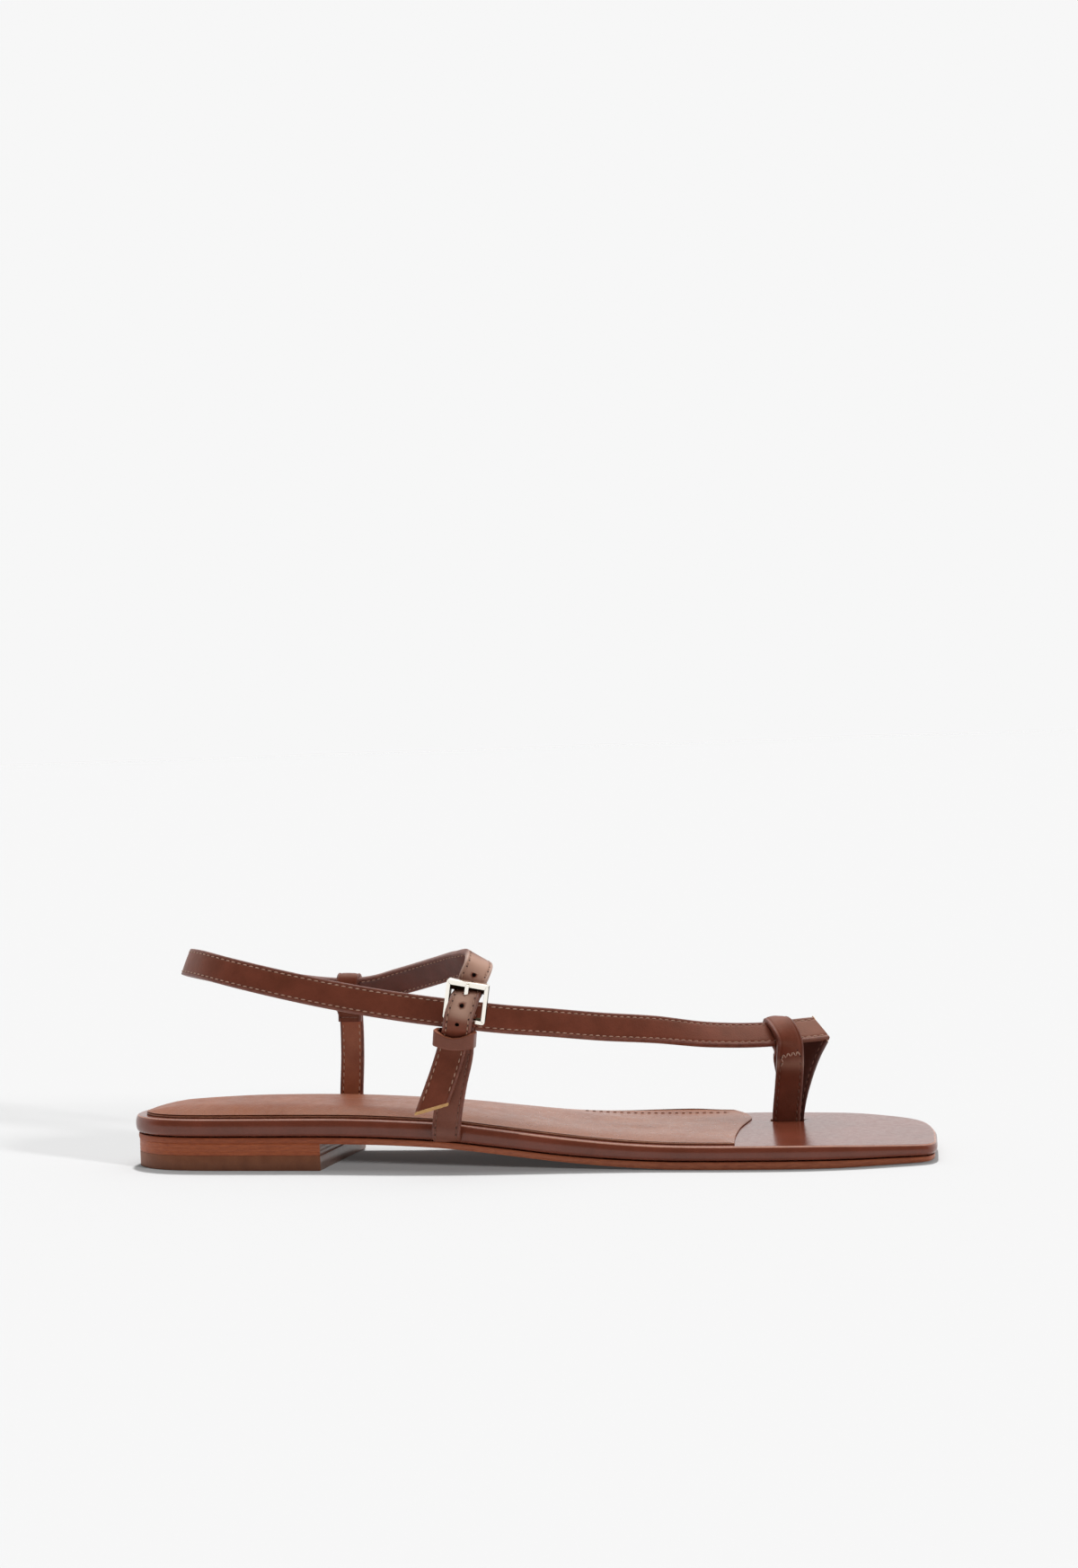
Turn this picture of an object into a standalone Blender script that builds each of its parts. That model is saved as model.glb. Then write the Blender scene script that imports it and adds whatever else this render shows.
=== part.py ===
# A flat leather thong sandal, right shoe, standing empty on its sole.
# +X points to the toe, -Y to the outer (buckle) side, +Y to the inner side, +Z up.
# The origin lies on the floor under the middle of the shoe. Sizes and tables are in millimetres.
import math

import bmesh
import bpy
import numpy as np

MM = 0.001
GAP = 0.3  # room left between neighbouring pieces
SHOE_MIDDLE = (-0.20, -1.70)  # middle of the shoe's box, in the tables' x and y

# Straps
STRAP_WIDTH = 8.8
STRAP_THICKNESS = 2.0
POST_THICKNESS = 1.8
INNER_POST_WIDTH = 7.6
STRAP_EDGE = 0.45  # chamfer of the cut edges
LOOP_OVERLAP = 0.15  # how far a post's loop is pressed into the strap it holds
LOOP_START = 0.35  # share of half the strap, below its middle, where the loop lies flat on it
LOOP_TURN = 0.6  # below the strap's top edge, where the loop starts to turn over
STRAP_STEP = 4.0  # distance between sections along the long strap
POST_STEP = 3.0  # and along the posts, which bend more tightly

# Heel
TOP_LIFT_HEIGHT = 4.7
HEEL_INSET = 0.9
TOP_LIFT_TAPER = 0.3

# Insole
INSOLE_INSET = 3.6
INSOLE_THICKNESS = 1.1
HEEL_PAD_RISE = 1.5
HEEL_PAD_CENTRE_X = -88.0
HEEL_PAD_LENGTH = 62.0
INSOLE_BEVEL = (0.8, 0.6)  # width, and share of the thickness where it starts

# Slot between the big toe and the second toe
TOE_SLOT_X = (73.5, 84.0)
TOE_SLOT_Y = (15.5, 20.2)
TOE_SLOT_Z = (0.0, 12.0)

# Recesses under the footbed's edge where the two side posts are lasted in
TUCK_HEIGHT = 2.9
TUCK_DEPTH = 7.5
TUCK_DROP = 3.9  # from the tucked leather down past the footbed's underside

# Buckle, in the frame's own plane: across the strap, along it, and out of it
BUCKLE_WIDTH = 13.0
BUCKLE_HEIGHT = 13.2
BUCKLE_BAR = 1.6
BUCKLE_CORNER = 1.5
BUCKLE_CENTRE = (-13.4, -37.7, 52.4)
BUCKLE_LEAN = 11.0  # degrees forward, as the outer post leans
BUCKLE_TIP_OUT = 13.0  # degrees, top bar further out than the heel bar
BAR_WRAP = 0.9  # leather folded round the heel bar
BAR_WRAP_WIDTH = 7.2
BAR_WRAP_TURN = (250.0, -50.0)  # degrees about the bar, from behind it to its front
BAR_ROOM = 1.1  # inside radius of what is bent round the bar
BEND_STEPS = 12
PRONG_WIDTH = 1.7
PRONG_THICKNESS = 1.1
PRONG_TURN = 260.0  # degrees of the bar its hook goes round
PRONG_REACH = 0.6  # past the middle of the top bar
PRONG_TIP = 0.75  # thickness at the tip, as a share

# Keeper
KEEPER_HEIGHT = 4.8
KEEPER_THICKNESS = 1.3
KEEPER_CENTRE = (-16.9, -35.9, 40.6)
KEEPER_INSIDE = (10.3, 6.0)
KEEPER_LEAN = 6.0
KEEPER_CORNER = 1.6

# Feather line of the sole, one row for each rib from heel to toe:
# outer side x, outer side y, inner side x, inner side y
SOLE_RIBS = [
    (-126.3, -9.0, -126.3, -4.0),
    (-124.7, -14.2, -124.9, 1.4),
    (-120.3, -19.6, -120.8, 7.0),
    (-113.0, -23.8, -113.5, 11.9),
    (-102.0, -26.2, -102.0, 15.6),
    (-84.0, -27.7, -82.0, 17.9),
    (-62.4, -29.3, -58.0, 17.4),
    (-36.0, -32.6, -34.0, 16.6),
    (-8.0, -34.6, -8.0, 18.8),
    (18.0, -34.8, 18.0, 25.8),
    (42.0, -35.5, 42.0, 33.6),
    (64.5, -36.9, 66.5, 37.4),
    (86.0, -37.0, 86.0, 36.4),
    (102.0, -34.7, 101.0, 35.1),
    (113.0, -31.2, 112.0, 31.0),
    (119.8, -28.8, 118.8, 25.8),
    (124.2, -26.4, 122.8, 17.6),
    (125.9, -21.4, 125.4, 1.0),
]
BREAST_RIB = 6  # the heel ends here
INSOLE_FRONT_RIB = 11.2  # the insole ends just past the ball
RIB_STEPS = 3  # sections between two rows of the table
RIB_PARTS = 4  # spaces across each rib
END_FILL = 7.0  # length at each end that is filled without ribs

# Heights along the shoe: x, underside of the outsole, outsole thickness, board thickness
SOLE_LEVELS = [
    (-130.0, 8.2, 2.1, 5.8),
    (-58.0, 8.2, 2.1, 5.8),
    (-36.0, 7.8, 2.0, 5.8),
    (-21.0, 6.9, 2.0, 5.8),
    (-7.0, 5.3, 2.0, 5.7),
    (15.0, 2.5, 2.0, 5.5),
    (35.0, 0.7, 2.2, 5.1),
    (52.0, 0.0, 2.4, 4.9),
    (95.0, 0.0, 2.3, 4.7),
    (110.0, 0.2, 2.0, 4.2),
    (128.0, 0.3, 1.6, 3.6),
]

# Edge profiles: distance out from the feather line, share of the piece's height
FOOTBED_EDGE = [(-0.5, 0.0), (0.55, 0.22), (0.8, 0.5), (0.5, 0.78), (-0.4, 0.95), (-1.8, 1.0)]
OUTSOLE_EDGE = [(-0.7, 0.0), (-0.1, 0.3), (0.0, 1.0)]

# Long strap, from the fold at the toes round the heel and over the instep to its free tip:
# x, y, z, azimuth and elevation of the finished face, slant of the cut across the strap
LONG_STRAP = [
    (90.0, 23.5, 36.2, -63.0, 43.0, 0.34),
    (84.0, 20.5, 36.0, -63.0, 43.0, 0.0),
    (77.0, 17.0, 35.6, -63.0, 43.0, 0.0),
    (56.0, 6.5, 36.6, -61.0, 38.0, 0.0),
    (40.0, -3.5, 39.2, -58.0, 26.0, 0.0),
    (24.5, -13.0, 41.4, -58.0, 20.0, 0.0),
    (9.3, -22.3, 44.0, -60.0, 18.0, 0.0),
    (-4.0, -28.8, 46.0, -70.0, 15.0, 0.0),
    (-16.2, -31.9, 47.9, -83.0, 12.0, 0.0),
    (-33.6, -32.6, 50.5, -92.0, 15.0, 0.0),
    (-56.5, -31.2, 54.6, -95.0, 17.0, 0.0),
    (-79.7, -27.6, 59.5, -101.0, 18.0, 0.0),
    (-92.2, -23.0, 62.1, -112.0, 19.0, 0.0),
    (-102.0, -16.0, 63.8, -135.0, 20.0, 0.0),
    (-108.8, -5.5, 63.6, -180.0, 21.0, 0.0),
    (-103.3, 5.3, 60.6, -225.0, 20.0, 0.0),
    (-93.5, 12.2, 57.0, -246.0, 18.0, 0.0),
    (-79.0, 17.0, 53.0, -258.0, 16.0, 0.0),
    (-62.3, 18.6, 51.2, -268.0, 14.0, 0.0),
    (-54.0, 15.6, 52.0, -292.0, 20.0, 0.0),
    (-42.0, 8.0, 55.2, -308.0, 26.0, 0.0),
    (-27.0, -7.0, 59.7, -318.0, 30.0, 0.0),
    (-17.5, -20.0, 62.6, -330.0, 40.0, 0.0),
    (-11.6, -29.0, 63.6, -365.0, 58.0, 0.0),
    (-10.2, -33.4, 62.2, -420.0, 38.0, 0.0),
    (-11.5, -35.3, 59.0, -442.0, 34.0, 0.0),
    (-12.6, -39.0, 54.2, -448.0, 16.0, 0.0),
    (-13.7, -40.3, 50.4, -448.0, 0.0, 0.0),
    (-15.1, -39.9, 46.4, -448.0, -16.0, 0.0),
    (-16.2, -37.7, 43.2, -448.0, -20.0, 0.0),
    (-17.0, -36.9, 40.4, -448.0, -4.0, 0.0),
    (-18.0, -36.9, 37.6, -448.0, 2.0, 0.0),
    (-20.2, -37.9, 31.5, -448.0, 4.0, 0.0),
    (-25.2, -39.6, 20.3, -448.0, 6.0, 0.6),
]
TOE_LOOP_ROW = 2
OUTER_LOOP_ROW = 8
INNER_LOOP_ROW = 18

# Short leg from the fold down behind the toe post: same columns as the long strap
RETURN_LEG = [
    (89.9, 24.0, 36.1, 66.0, -13.0, 0.6),
    (86.0, 22.0, 27.0, 72.0, -10.0, 0.1),
    (81.6, 19.8, 15.0, 82.0, -4.0, 0.0),
    (79.3, 18.9, 8.0, 90.0, 0.0, 0.0),
    (79.1, 18.9, 3.4, 90.0, 0.0, 0.0),
]

# Posts up to the loop that holds the strap: same columns
TOE_POST = [
    (78.3, 16.8, 3.4, -90.0, 0.0, 0.0),
    (78.5, 16.8, 9.0, -90.0, 0.0, 0.0),
    (79.3, 16.4, 18.0, -88.0, 0.0, 0.0),
    (79.8, 15.2, 25.0, -84.0, 6.0, 0.0),
    (79.4, 13.7, 31.0, -74.0, 16.0, 0.0),
]
OUTER_POST = [
    (-21.4, -29.6, 10.75, -90.0, -90.0, 0.0),
    (-21.4, -33.4, 10.75, -90.0, -85.0, 0.0),
    (-21.3, -36.3, 12.4, -90.0, -25.0, 0.0),
    (-20.8, -36.4, 16.5, -90.0, 2.0, 0.0),
    (-19.4, -35.6, 27.0, -90.0, 3.0, 0.0),
    (-17.8, -34.6, 38.0, -88.0, 3.0, 0.0),
]
INNER_POST = [
    (-62.9, 12.8, 11.75, 90.0, -90.0, 0.0),
    (-62.9, 16.8, 11.75, 90.0, -85.0, 0.0),
    (-62.9, 19.5, 13.2, 90.0, -25.0, 0.0),
    (-62.8, 19.7, 17.5, 90.0, 2.0, 0.0),
    (-62.2, 20.2, 30.0, 90.0, 0.0, 0.0),
    (-62.2, 20.6, 42.0, 91.0, 4.0, 0.0),
]


def clear_scene():
    for item in list(bpy.data.objects):
        bpy.data.objects.remove(item, do_unlink=True)


def material(name, colour, roughness, metallic=0.0):
    made = bpy.data.materials.new(name)
    made.use_nodes = True
    shader = made.node_tree.nodes["Principled BSDF"]
    shader.inputs["Base Color"].default_value = (*colour, 1.0)
    shader.inputs["Roughness"].default_value = roughness
    shader.inputs["Metallic"].default_value = metallic
    return made


def unit(vectors):
    return vectors / np.linalg.norm(vectors, axis=-1, keepdims=True)


def direction(azimuth, elevation):
    turn, rise = np.radians(azimuth), np.radians(elevation)
    return np.stack([np.cos(rise) * np.cos(turn), np.cos(rise) * np.sin(turn), np.sin(rise)], -1)


def slopes(places, values, monotone):
    # Three-point slopes; a monotone curve never swings past its own rows.
    steps = np.diff(places)[:, None]
    rises = np.diff(values, axis=0) / steps
    inner = (rises[:-1] * steps[1:] + rises[1:] * steps[:-1]) / (steps[1:] + steps[:-1])
    if monotone:
        low = 3.0 * np.minimum(np.abs(rises[:-1]), np.abs(rises[1:]))
        inner = np.where(rises[:-1] * rises[1:] > 0, np.clip(inner, -low, low), 0.0)
    return np.concatenate([rises[:1], inner, rises[-1:]])


def curve_at(places, values, wanted, monotone=False):
    # Cubic curve through a table's rows, read at the wanted places.
    slope = slopes(places, values, monotone)
    span = np.clip(np.searchsorted(places, wanted, side="right") - 1, 0, len(places) - 2)
    step = (places[span + 1] - places[span])[:, None]
    share = (wanted - places[span])[:, None] / step
    start, end = values[span], values[span + 1]
    rise_in, rise_out = slope[span] * step, slope[span + 1] * step
    square, cube = share**2, share**3
    return (
        (2 * cube - 3 * square + 1) * start
        + (cube - 2 * square + share) * rise_in
        + (3 * square - 2 * cube) * end
        + (cube - square) * rise_out
    )


def sole_levels(x):
    # Underside of the outsole, top of the outsole and top of the footbed at a place along the shoe.
    table = np.array(SOLE_LEVELS)
    under, outsole, board = curve_at(table[:, 0], table[:, 1:], np.array([x]), monotone=True)[0]
    return under, under + outsole, under + outsole + board


def outline_loop(offset, last):
    # The sole's outline as one closed loop, moved out by the offset: up the outer side,
    # across the front rib, back down the inner side and across the heel.
    rows = np.array(SOLE_RIBS)
    every = np.arange(math.ceil(last * RIB_STEPS)) / RIB_STEPS
    wanted = np.append(every, last)
    sides = curve_at(np.arange(float(len(rows))), rows, wanted)
    outer, inner = sides[:, :2], sides[:, 2:]
    shares = (np.arange(1, RIB_PARTS) / RIB_PARTS)[:, None]
    front = outer[-1] + shares * (inner[-1] - outer[-1])
    back = inner[0] + shares * (outer[0] - inner[0])
    loop = np.concatenate([outer, front, inner[::-1], back])
    edges = unit(np.roll(loop, -1, axis=0) - loop)
    after = np.stack([edges[:, 1], -edges[:, 0]], -1)
    before = np.roll(after, 1, axis=0)
    corner = 1.0 + np.sum(before * after, axis=1, keepdims=True)
    return loop + offset * (before + after) / corner


def loft(rings):
    # Closed solid through rings of equal length, with both ends filled.
    mesh = bmesh.new()
    made = [[mesh.verts.new(tuple(point * MM)) for point in ring] for ring in rings]
    for ring, following in zip(made, made[1:]):
        for here in range(len(ring)):
            after = (here + 1) % len(ring)
            mesh.faces.new((ring[here], ring[after], following[after], following[here]))
    mesh.faces.new(made[0][::-1])
    mesh.faces.new(made[-1])
    return finished(mesh)


def closed_loft(rings):
    # Ring-shaped solid whose last section joins its first.
    mesh = bmesh.new()
    made = [[mesh.verts.new(tuple(point * MM)) for point in ring] for ring in rings]
    for ring, following in zip(made, made[1:] + made[:1]):
        for here in range(len(ring)):
            after = (here + 1) % len(ring)
            mesh.faces.new((ring[here], ring[after], following[after], following[here]))
    return finished(mesh)


def finished(mesh):
    bmesh.ops.triangulate(mesh, faces=mesh.faces[:])
    bmesh.ops.recalc_face_normals(mesh, faces=mesh.faces[:])
    return mesh


def piece(name, mesh, finish, parent):
    data = bpy.data.meshes.new(name)
    mesh.to_mesh(data)
    mesh.free()
    data.shade_smooth()
    data.set_sharp_from_angle(angle=math.radians(35.0))
    data.materials.append(finish)
    made = bpy.data.objects.new(name, data)
    made.parent = parent
    bpy.context.scene.collection.objects.link(made)
    return made


def tool(name, mesh, finish, parent):
    made = piece(name, mesh, finish, parent)
    made.hide_render = True
    made.display_type = "WIRE"
    return made


def combine(target, operand, operation):
    modifier = target.modifiers.new(operand.name, "BOOLEAN")
    modifier.operation = operation
    modifier.solver = "EXACT"
    modifier.object = operand


def box_mesh(x_range, y_range, z_range):
    corners = [(0, 0), (1, 0), (1, 1), (0, 1)]
    rings = [
        [np.array((x_range[i], y_range[j], z)) for i, j in corners]
        for z in z_range
    ]
    return loft(rings)


def cap(mesh, loop, level, crown):
    # Closes a sole piece above or below with ribs from the outer to the inner side.
    # Each end, where the ribs would crowd together, is one face.
    ends = RIB_PARTS - 1
    last_rib = (len(loop) - 2 * ends) // 2 - 1
    across = 2 * last_rib + 1 + ends
    places = [vertex.co.x / MM for vertex in loop]
    back, front = min(places) + END_FILL, max(places) - END_FILL
    kept = [rib for rib in range(last_rib + 1) if back < places[rib] < front]
    rows = []
    for rib in kept:
        outer, inner = loop[rib], loop[across - rib]
        row = [outer]
        for part in range(1, RIB_PARTS):
            share = part / RIB_PARTS
            x, y, _ = outer.co.lerp(inner.co, share) / MM
            swell = crown(x) * (1.0 - (2.0 * share - 1.0) ** 4)
            row.append(mesh.verts.new((x * MM, y * MM, (level(x) + swell) * MM)))
        rows.append(row + [inner])
    for row, following in zip(rows, rows[1:]):
        for here in range(RIB_PARTS):
            mesh.faces.new((row[here], row[here + 1], following[here + 1], following[here]))
    mesh.faces.new(loop[kept[-1]:across - kept[-1] + 1] + rows[-1][-2:0:-1])
    mesh.faces.new(loop[across - kept[0]:] + loop[:kept[0] + 1] + rows[0][1:-1])


def no_crown(x):
    return 0.0


def sole_piece(profile, low, high, last=len(SOLE_RIBS) - 1, crown=no_crown):
    # Side wall through the rows of an edge profile, closed above and below.
    mesh = bmesh.new()
    loops = []
    for offset, share in profile:
        loop = []
        for x, y in outline_loop(offset, last):
            z = low(x) + share * (high(x) - low(x))
            loop.append(mesh.verts.new((x * MM, y * MM, z * MM)))
        loops.append(loop)
    for loop, above in zip(loops, loops[1:]):
        for here in range(len(loop)):
            after = (here + 1) % len(loop)
            mesh.faces.new((loop[here], loop[after], above[after], above[here]))
    cap(mesh, loops[0], low, no_crown)
    cap(mesh, loops[-1], high, crown)
    return finished(mesh)


def heel_pad(x):
    # Crown of the padded heel seat, fading out towards the arch and the ball.
    share = (x - HEEL_PAD_CENTRE_X) / HEEL_PAD_LENGTH
    return HEEL_PAD_RISE * math.exp(-2.0 * share**2)


def strap_frames(rows, width, step):
    # Sections along a strap: place, travel, finished face, half the strap across, slant.
    table = np.array(rows)
    far = np.concatenate([[0.0], np.cumsum(np.linalg.norm(np.diff(table[:, :3], axis=0), axis=1))])
    spans = [
        np.linspace(start, end, max(2, math.ceil((end - start) / step)), endpoint=False)
        for start, end in zip(far, far[1:])
    ]
    wanted = np.concatenate(spans + [far[-1:]])
    place = curve_at(far, table[:, :3], wanted)
    travel = unit(slopes(wanted, place, monotone=False))
    face = curve_at(far, direction(table[:, 3], table[:, 4]), wanted)
    face = unit(face - np.sum(face * travel, axis=1, keepdims=True) * travel)
    across = np.cross(travel, face)
    slant = np.interp(wanted, far, table[:, 5])
    return place, travel, face, across * width / 2.0, slant


def strap(rows, width, thickness, step):
    place, travel, face, across, slant = strap_frames(rows, width, step)
    inset = 1.0 - 2.0 * STRAP_EDGE / width
    deep, shallow = thickness / 2.0, thickness / 2.0 - STRAP_EDGE
    section = [
        (1.0, shallow), (inset, deep), (-inset, deep), (-1.0, shallow),
        (-1.0, -shallow), (-inset, -deep), (inset, -deep), (1.0, -shallow),
    ]
    rings = [
        [
            place[k] + side * (across[k] + slant[k] * width / 2.0 * travel[k]) + out * face[k]
            for side, out in section
        ]
        for k in range(len(place))
    ]
    return loft(rings)


def loop_rows(row):
    # A post's way round the strap: up its face, over its top edge and down its back.
    table = np.array(LONG_STRAP)
    centre = table[row, :3]
    travel = unit(table[row + 1, :3] - table[row - 1, :3])
    face = direction(table[row, 3], table[row, 4])
    face = unit(face - np.dot(face, travel) * travel)
    up = np.cross(travel, face)
    up = up if up[2] > 0 else -up
    out = STRAP_THICKNESS / 2.0 + POST_THICKNESS / 2.0 - LOOP_OVERLAP
    high = STRAP_WIDTH / 2.0
    tall = high + POST_THICKNESS / 2.0 - LOOP_OVERLAP
    ring = [
        (-LOOP_START * high, out, face),
        (high - LOOP_TURN, out, face),
        (tall, 0.0, up),
        (high - LOOP_TURN, -out, -face),
        (0.0, -out, -face),
        (-high, -out, -face),
    ]
    rows = []
    for along, away, look in ring:
        x, y, z = centre + along * up + away * face
        turn = math.degrees(math.atan2(look[1], look[0]))
        rows.append((x, y, z, turn, math.degrees(math.asin(look[2])), 0.0))
    return rows


def post(leg, row, width):
    return strap(leg + loop_rows(row), width, POST_THICKNESS, POST_STEP)


def buckle_axes():
    lean, tip = math.radians(BUCKLE_LEAN), math.radians(BUCKLE_TIP_OUT)
    across = np.array((math.cos(lean), 0.0, -math.sin(lean)))
    along = np.array((math.sin(lean) * math.cos(tip), -math.sin(tip), math.cos(lean) * math.cos(tip)))
    return across, along, np.cross(across, along)


def rounded_rectangle(width, height, radius, steps=4):
    centres = [(1, 1), (-1, 1), (-1, -1), (1, -1)]
    points = []
    for quarter, (right, top) in enumerate(centres):
        for step in range(steps + 1):
            angle = math.radians(90.0 * (quarter + step / steps))
            points.append((
                right * (width / 2.0 - radius) + radius * math.cos(angle),
                top * (height / 2.0 - radius) + radius * math.sin(angle),
            ))
    return points


def frame_rings(width, height, radius, origin, axes, section):
    # Sections of a bar or strip bent round a rounded rectangle.
    across, along, out = axes
    middle = rounded_rectangle(width, height, radius)
    outside = rounded_rectangle(width + 2.0, height + 2.0, radius + 1.0)
    rings = []
    for (u, v), (far_u, far_v) in zip(middle, outside):
        away = (far_u - u) * across + (far_v - v) * along
        place = np.array(origin) + u * across + v * along
        rings.append([place + side * away + depth * out for side, depth in section])
    return rings


def octagon(width, depth):
    cut = 0.3 * min(width, depth)
    w, d = width / 2.0, depth / 2.0
    return [
        (w, d - cut), (w - cut, d), (cut - w, d), (-w, d - cut),
        (-w, cut - d), (cut - w, -d), (w - cut, -d), (w, cut - d),
    ]


def heel_bar_point():
    along = buckle_axes()[1]
    return np.array(BUCKLE_CENTRE) - (BUCKLE_HEIGHT - BUCKLE_BAR) / 2.0 * along


def bent_strip(inside, outside, width):
    # A strip bent about the heel bar, from its inner and outer line in the plane across the bar.
    across, along, out = buckle_axes()
    middle = heel_bar_point()
    sides = (-width / 2.0 * across, width / 2.0 * across)
    rings = []
    for low, high in zip(inside, outside):
        inner = middle + low[0] * along + low[1] * out
        outer = middle + high[0] * along + high[1] * out
        rings.append([inner + sides[0], inner + sides[1], outer + sides[1], outer + sides[0]])
    return loft(rings)


def arc(radius, start, end):
    angles = np.radians(np.linspace(start, end, BEND_STEPS + 1))
    return [(radius * math.sin(angle), radius * math.cos(angle)) for angle in angles]


def bar_wrap():
    # The post's leather comes up behind the heel bar and folds forward round it.
    inside = arc(BAR_ROOM, *BAR_WRAP_TURN)
    outside = arc(BAR_ROOM + BAR_WRAP, *BAR_WRAP_TURN)
    return bent_strip(inside, outside, BAR_WRAP_WIDTH)


def prong(room=0.0):
    # A straight tongue lying on the top bar and a hook round the heel bar; room widens it all round.
    inside = BAR_ROOM - room
    outside = BAR_ROOM + PRONG_THICKNESS + room
    reach = BUCKLE_HEIGHT - BUCKLE_BAR + PRONG_REACH + room
    turn = PRONG_TURN + math.degrees(room / BAR_ROOM)
    tip = inside + PRONG_TIP * (outside - inside)
    return bent_strip(
        [(reach, inside), *arc(inside, 0.0, -turn)],
        [(reach, tip), *arc(outside, 0.0, -turn)],
        PRONG_WIDTH + 2.0 * room,
    )


def build():
    clear_scene()
    sandal = bpy.data.objects.new("sandal", None)
    sandal.location = (-SHOE_MIDDLE[0] * MM, -SHOE_MIDDLE[1] * MM, 0.0)
    bpy.context.scene.collection.objects.link(sandal)

    strap_leather = material("strap_leather", (0.17, 0.058, 0.031), 0.45)
    wrap_leather = material("footbed_leather", (0.18, 0.060, 0.033), 0.42)
    insole_leather = material("insole_leather", (0.25, 0.090, 0.050), 0.45)
    sole_leather = material("outsole_leather", (0.42, 0.17, 0.075), 0.5)
    stack_leather = material("heel_stack_leather", (0.36, 0.13, 0.06), 0.5)
    lift_rubber = material("top_lift_rubber", (0.20, 0.085, 0.045), 0.6)
    keeper_leather = material("keeper_leather", (0.16, 0.055, 0.030), 0.45)
    gilt_frame = material("buckle_gilt", (0.83, 0.68, 0.42), 0.2, 1.0)
    gilt_prong = material("prong_gilt", (0.83, 0.68, 0.42), 0.22, 1.0)

    def under(x):
        return float(sole_levels(x)[0])

    def outsole_top(x):
        return float(sole_levels(x)[1])

    def board_under(x):
        return outsole_top(x) + GAP

    def board_top(x):
        return float(sole_levels(x)[2])

    # Sole: outsole, heel and the leather-wrapped footbed
    piece("outsole", sole_piece(OUTSOLE_EDGE, under, outsole_top), sole_leather, sandal)
    stack_edge = [(-HEEL_INSET, 0.0), (-HEEL_INSET, 1.0)]
    lift_edge = [(-HEEL_INSET - TOP_LIFT_TAPER, 0.0), (-HEEL_INSET, 1.0)]
    stack = sole_piece(
        stack_edge, lambda x: TOP_LIFT_HEIGHT + GAP, lambda x: under(x) - GAP, last=BREAST_RIB
    )
    piece("heel_stack", stack, stack_leather, sandal)
    lift = sole_piece(lift_edge, lambda x: 0.0, lambda x: TOP_LIFT_HEIGHT, last=BREAST_RIB)
    piece("heel_top_lift", lift, lift_rubber, sandal)
    footbed = piece(
        "footbed", sole_piece(FOOTBED_EDGE, board_under, board_top), wrap_leather, sandal
    )

    # Openings in the footbed: the toe slot and the recesses of the two side posts
    slot = box_mesh(TOE_SLOT_X, TOE_SLOT_Y, TOE_SLOT_Z)
    combine(footbed, tool("toe_slot", slot, wrap_leather, sandal), "DIFFERENCE")
    for name, rows, width in (
        ("outer_recess", OUTER_POST, STRAP_WIDTH),
        ("inner_recess", INNER_POST, INNER_POST_WIDTH),
    ):
        x, y, z = rows[0][:3]
        side = math.copysign(1.0, y)
        wide = width / 2.0 + GAP
        deep = sorted((y - side * 2.0 * GAP, y + side * TUCK_DEPTH))
        high = z - POST_THICKNESS / 2.0 + TUCK_HEIGHT
        recess = box_mesh((x - wide, x + wide), deep, (z - TUCK_DROP, high))
        combine(footbed, tool(name, recess, wrap_leather, sandal), "DIFFERENCE")

    # Padded insole on the footbed, from the heel to the ball
    bevel, start = INSOLE_BEVEL
    insole_edge = [(-INSOLE_INSET, 0.0), (-INSOLE_INSET, start), (-INSOLE_INSET - bevel, 1.0)]
    insole = sole_piece(
        insole_edge,
        lambda x: board_top(x) + GAP,
        lambda x: board_top(x) + GAP + INSOLE_THICKNESS,
        last=INSOLE_FRONT_RIB,
        crown=heel_pad,
    )
    piece("insole", insole, insole_leather, sandal)

    # Upper: the long strap with its folded leg and three posts, joined where they cross
    long_strap = strap(LONG_STRAP, STRAP_WIDTH, STRAP_THICKNESS, STRAP_STEP)
    upper = piece("upper", long_strap, strap_leather, sandal)
    joined = [
        ("return_leg", strap(RETURN_LEG, STRAP_WIDTH, POST_THICKNESS, POST_STEP)),
        ("toe_post", post(TOE_POST, TOE_LOOP_ROW, STRAP_WIDTH)),
        ("outer_post", post(OUTER_POST, OUTER_LOOP_ROW, STRAP_WIDTH)),
        ("inner_post", post(INNER_POST, INNER_LOOP_ROW, INNER_POST_WIDTH)),
        ("bar_wrap", bar_wrap()),
    ]
    for name, mesh in joined:
        combine(upper, tool(name, mesh, strap_leather, sandal), "UNION")
    combine(upper, tool("prong_room", prong(room=GAP), strap_leather, sandal), "DIFFERENCE")

    # Buckle: a square frame and its single prong
    axes = buckle_axes()
    bar = octagon(BUCKLE_BAR, BUCKLE_BAR)
    middle_size = (BUCKLE_WIDTH - BUCKLE_BAR, BUCKLE_HEIGHT - BUCKLE_BAR)
    rings = frame_rings(*middle_size, BUCKLE_CORNER, BUCKLE_CENTRE, axes, bar)
    piece("buckle_frame", closed_loft(rings), gilt_frame, sandal)
    piece("buckle_prong", prong(), gilt_prong, sandal)

    # Keeper loop round the post and the strap's free end
    lean = math.radians(KEEPER_LEAN)
    along = np.array((math.sin(lean), 0.0, math.cos(lean)))
    across = np.array((math.cos(lean), 0.0, -math.sin(lean)))
    keeper_axes = (across, np.array((0.0, 1.0, 0.0)), along)
    strip = octagon(KEEPER_THICKNESS, KEEPER_HEIGHT)
    size = (KEEPER_INSIDE[0] + KEEPER_THICKNESS, KEEPER_INSIDE[1] + KEEPER_THICKNESS)
    rings = frame_rings(*size, KEEPER_CORNER, KEEPER_CENTRE, keeper_axes, strip)
    piece("keeper", closed_loft(rings), keeper_leather, sandal)


build()
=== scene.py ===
import math

import bpy
import numpy as np
from mathutils import Matrix, Vector


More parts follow.
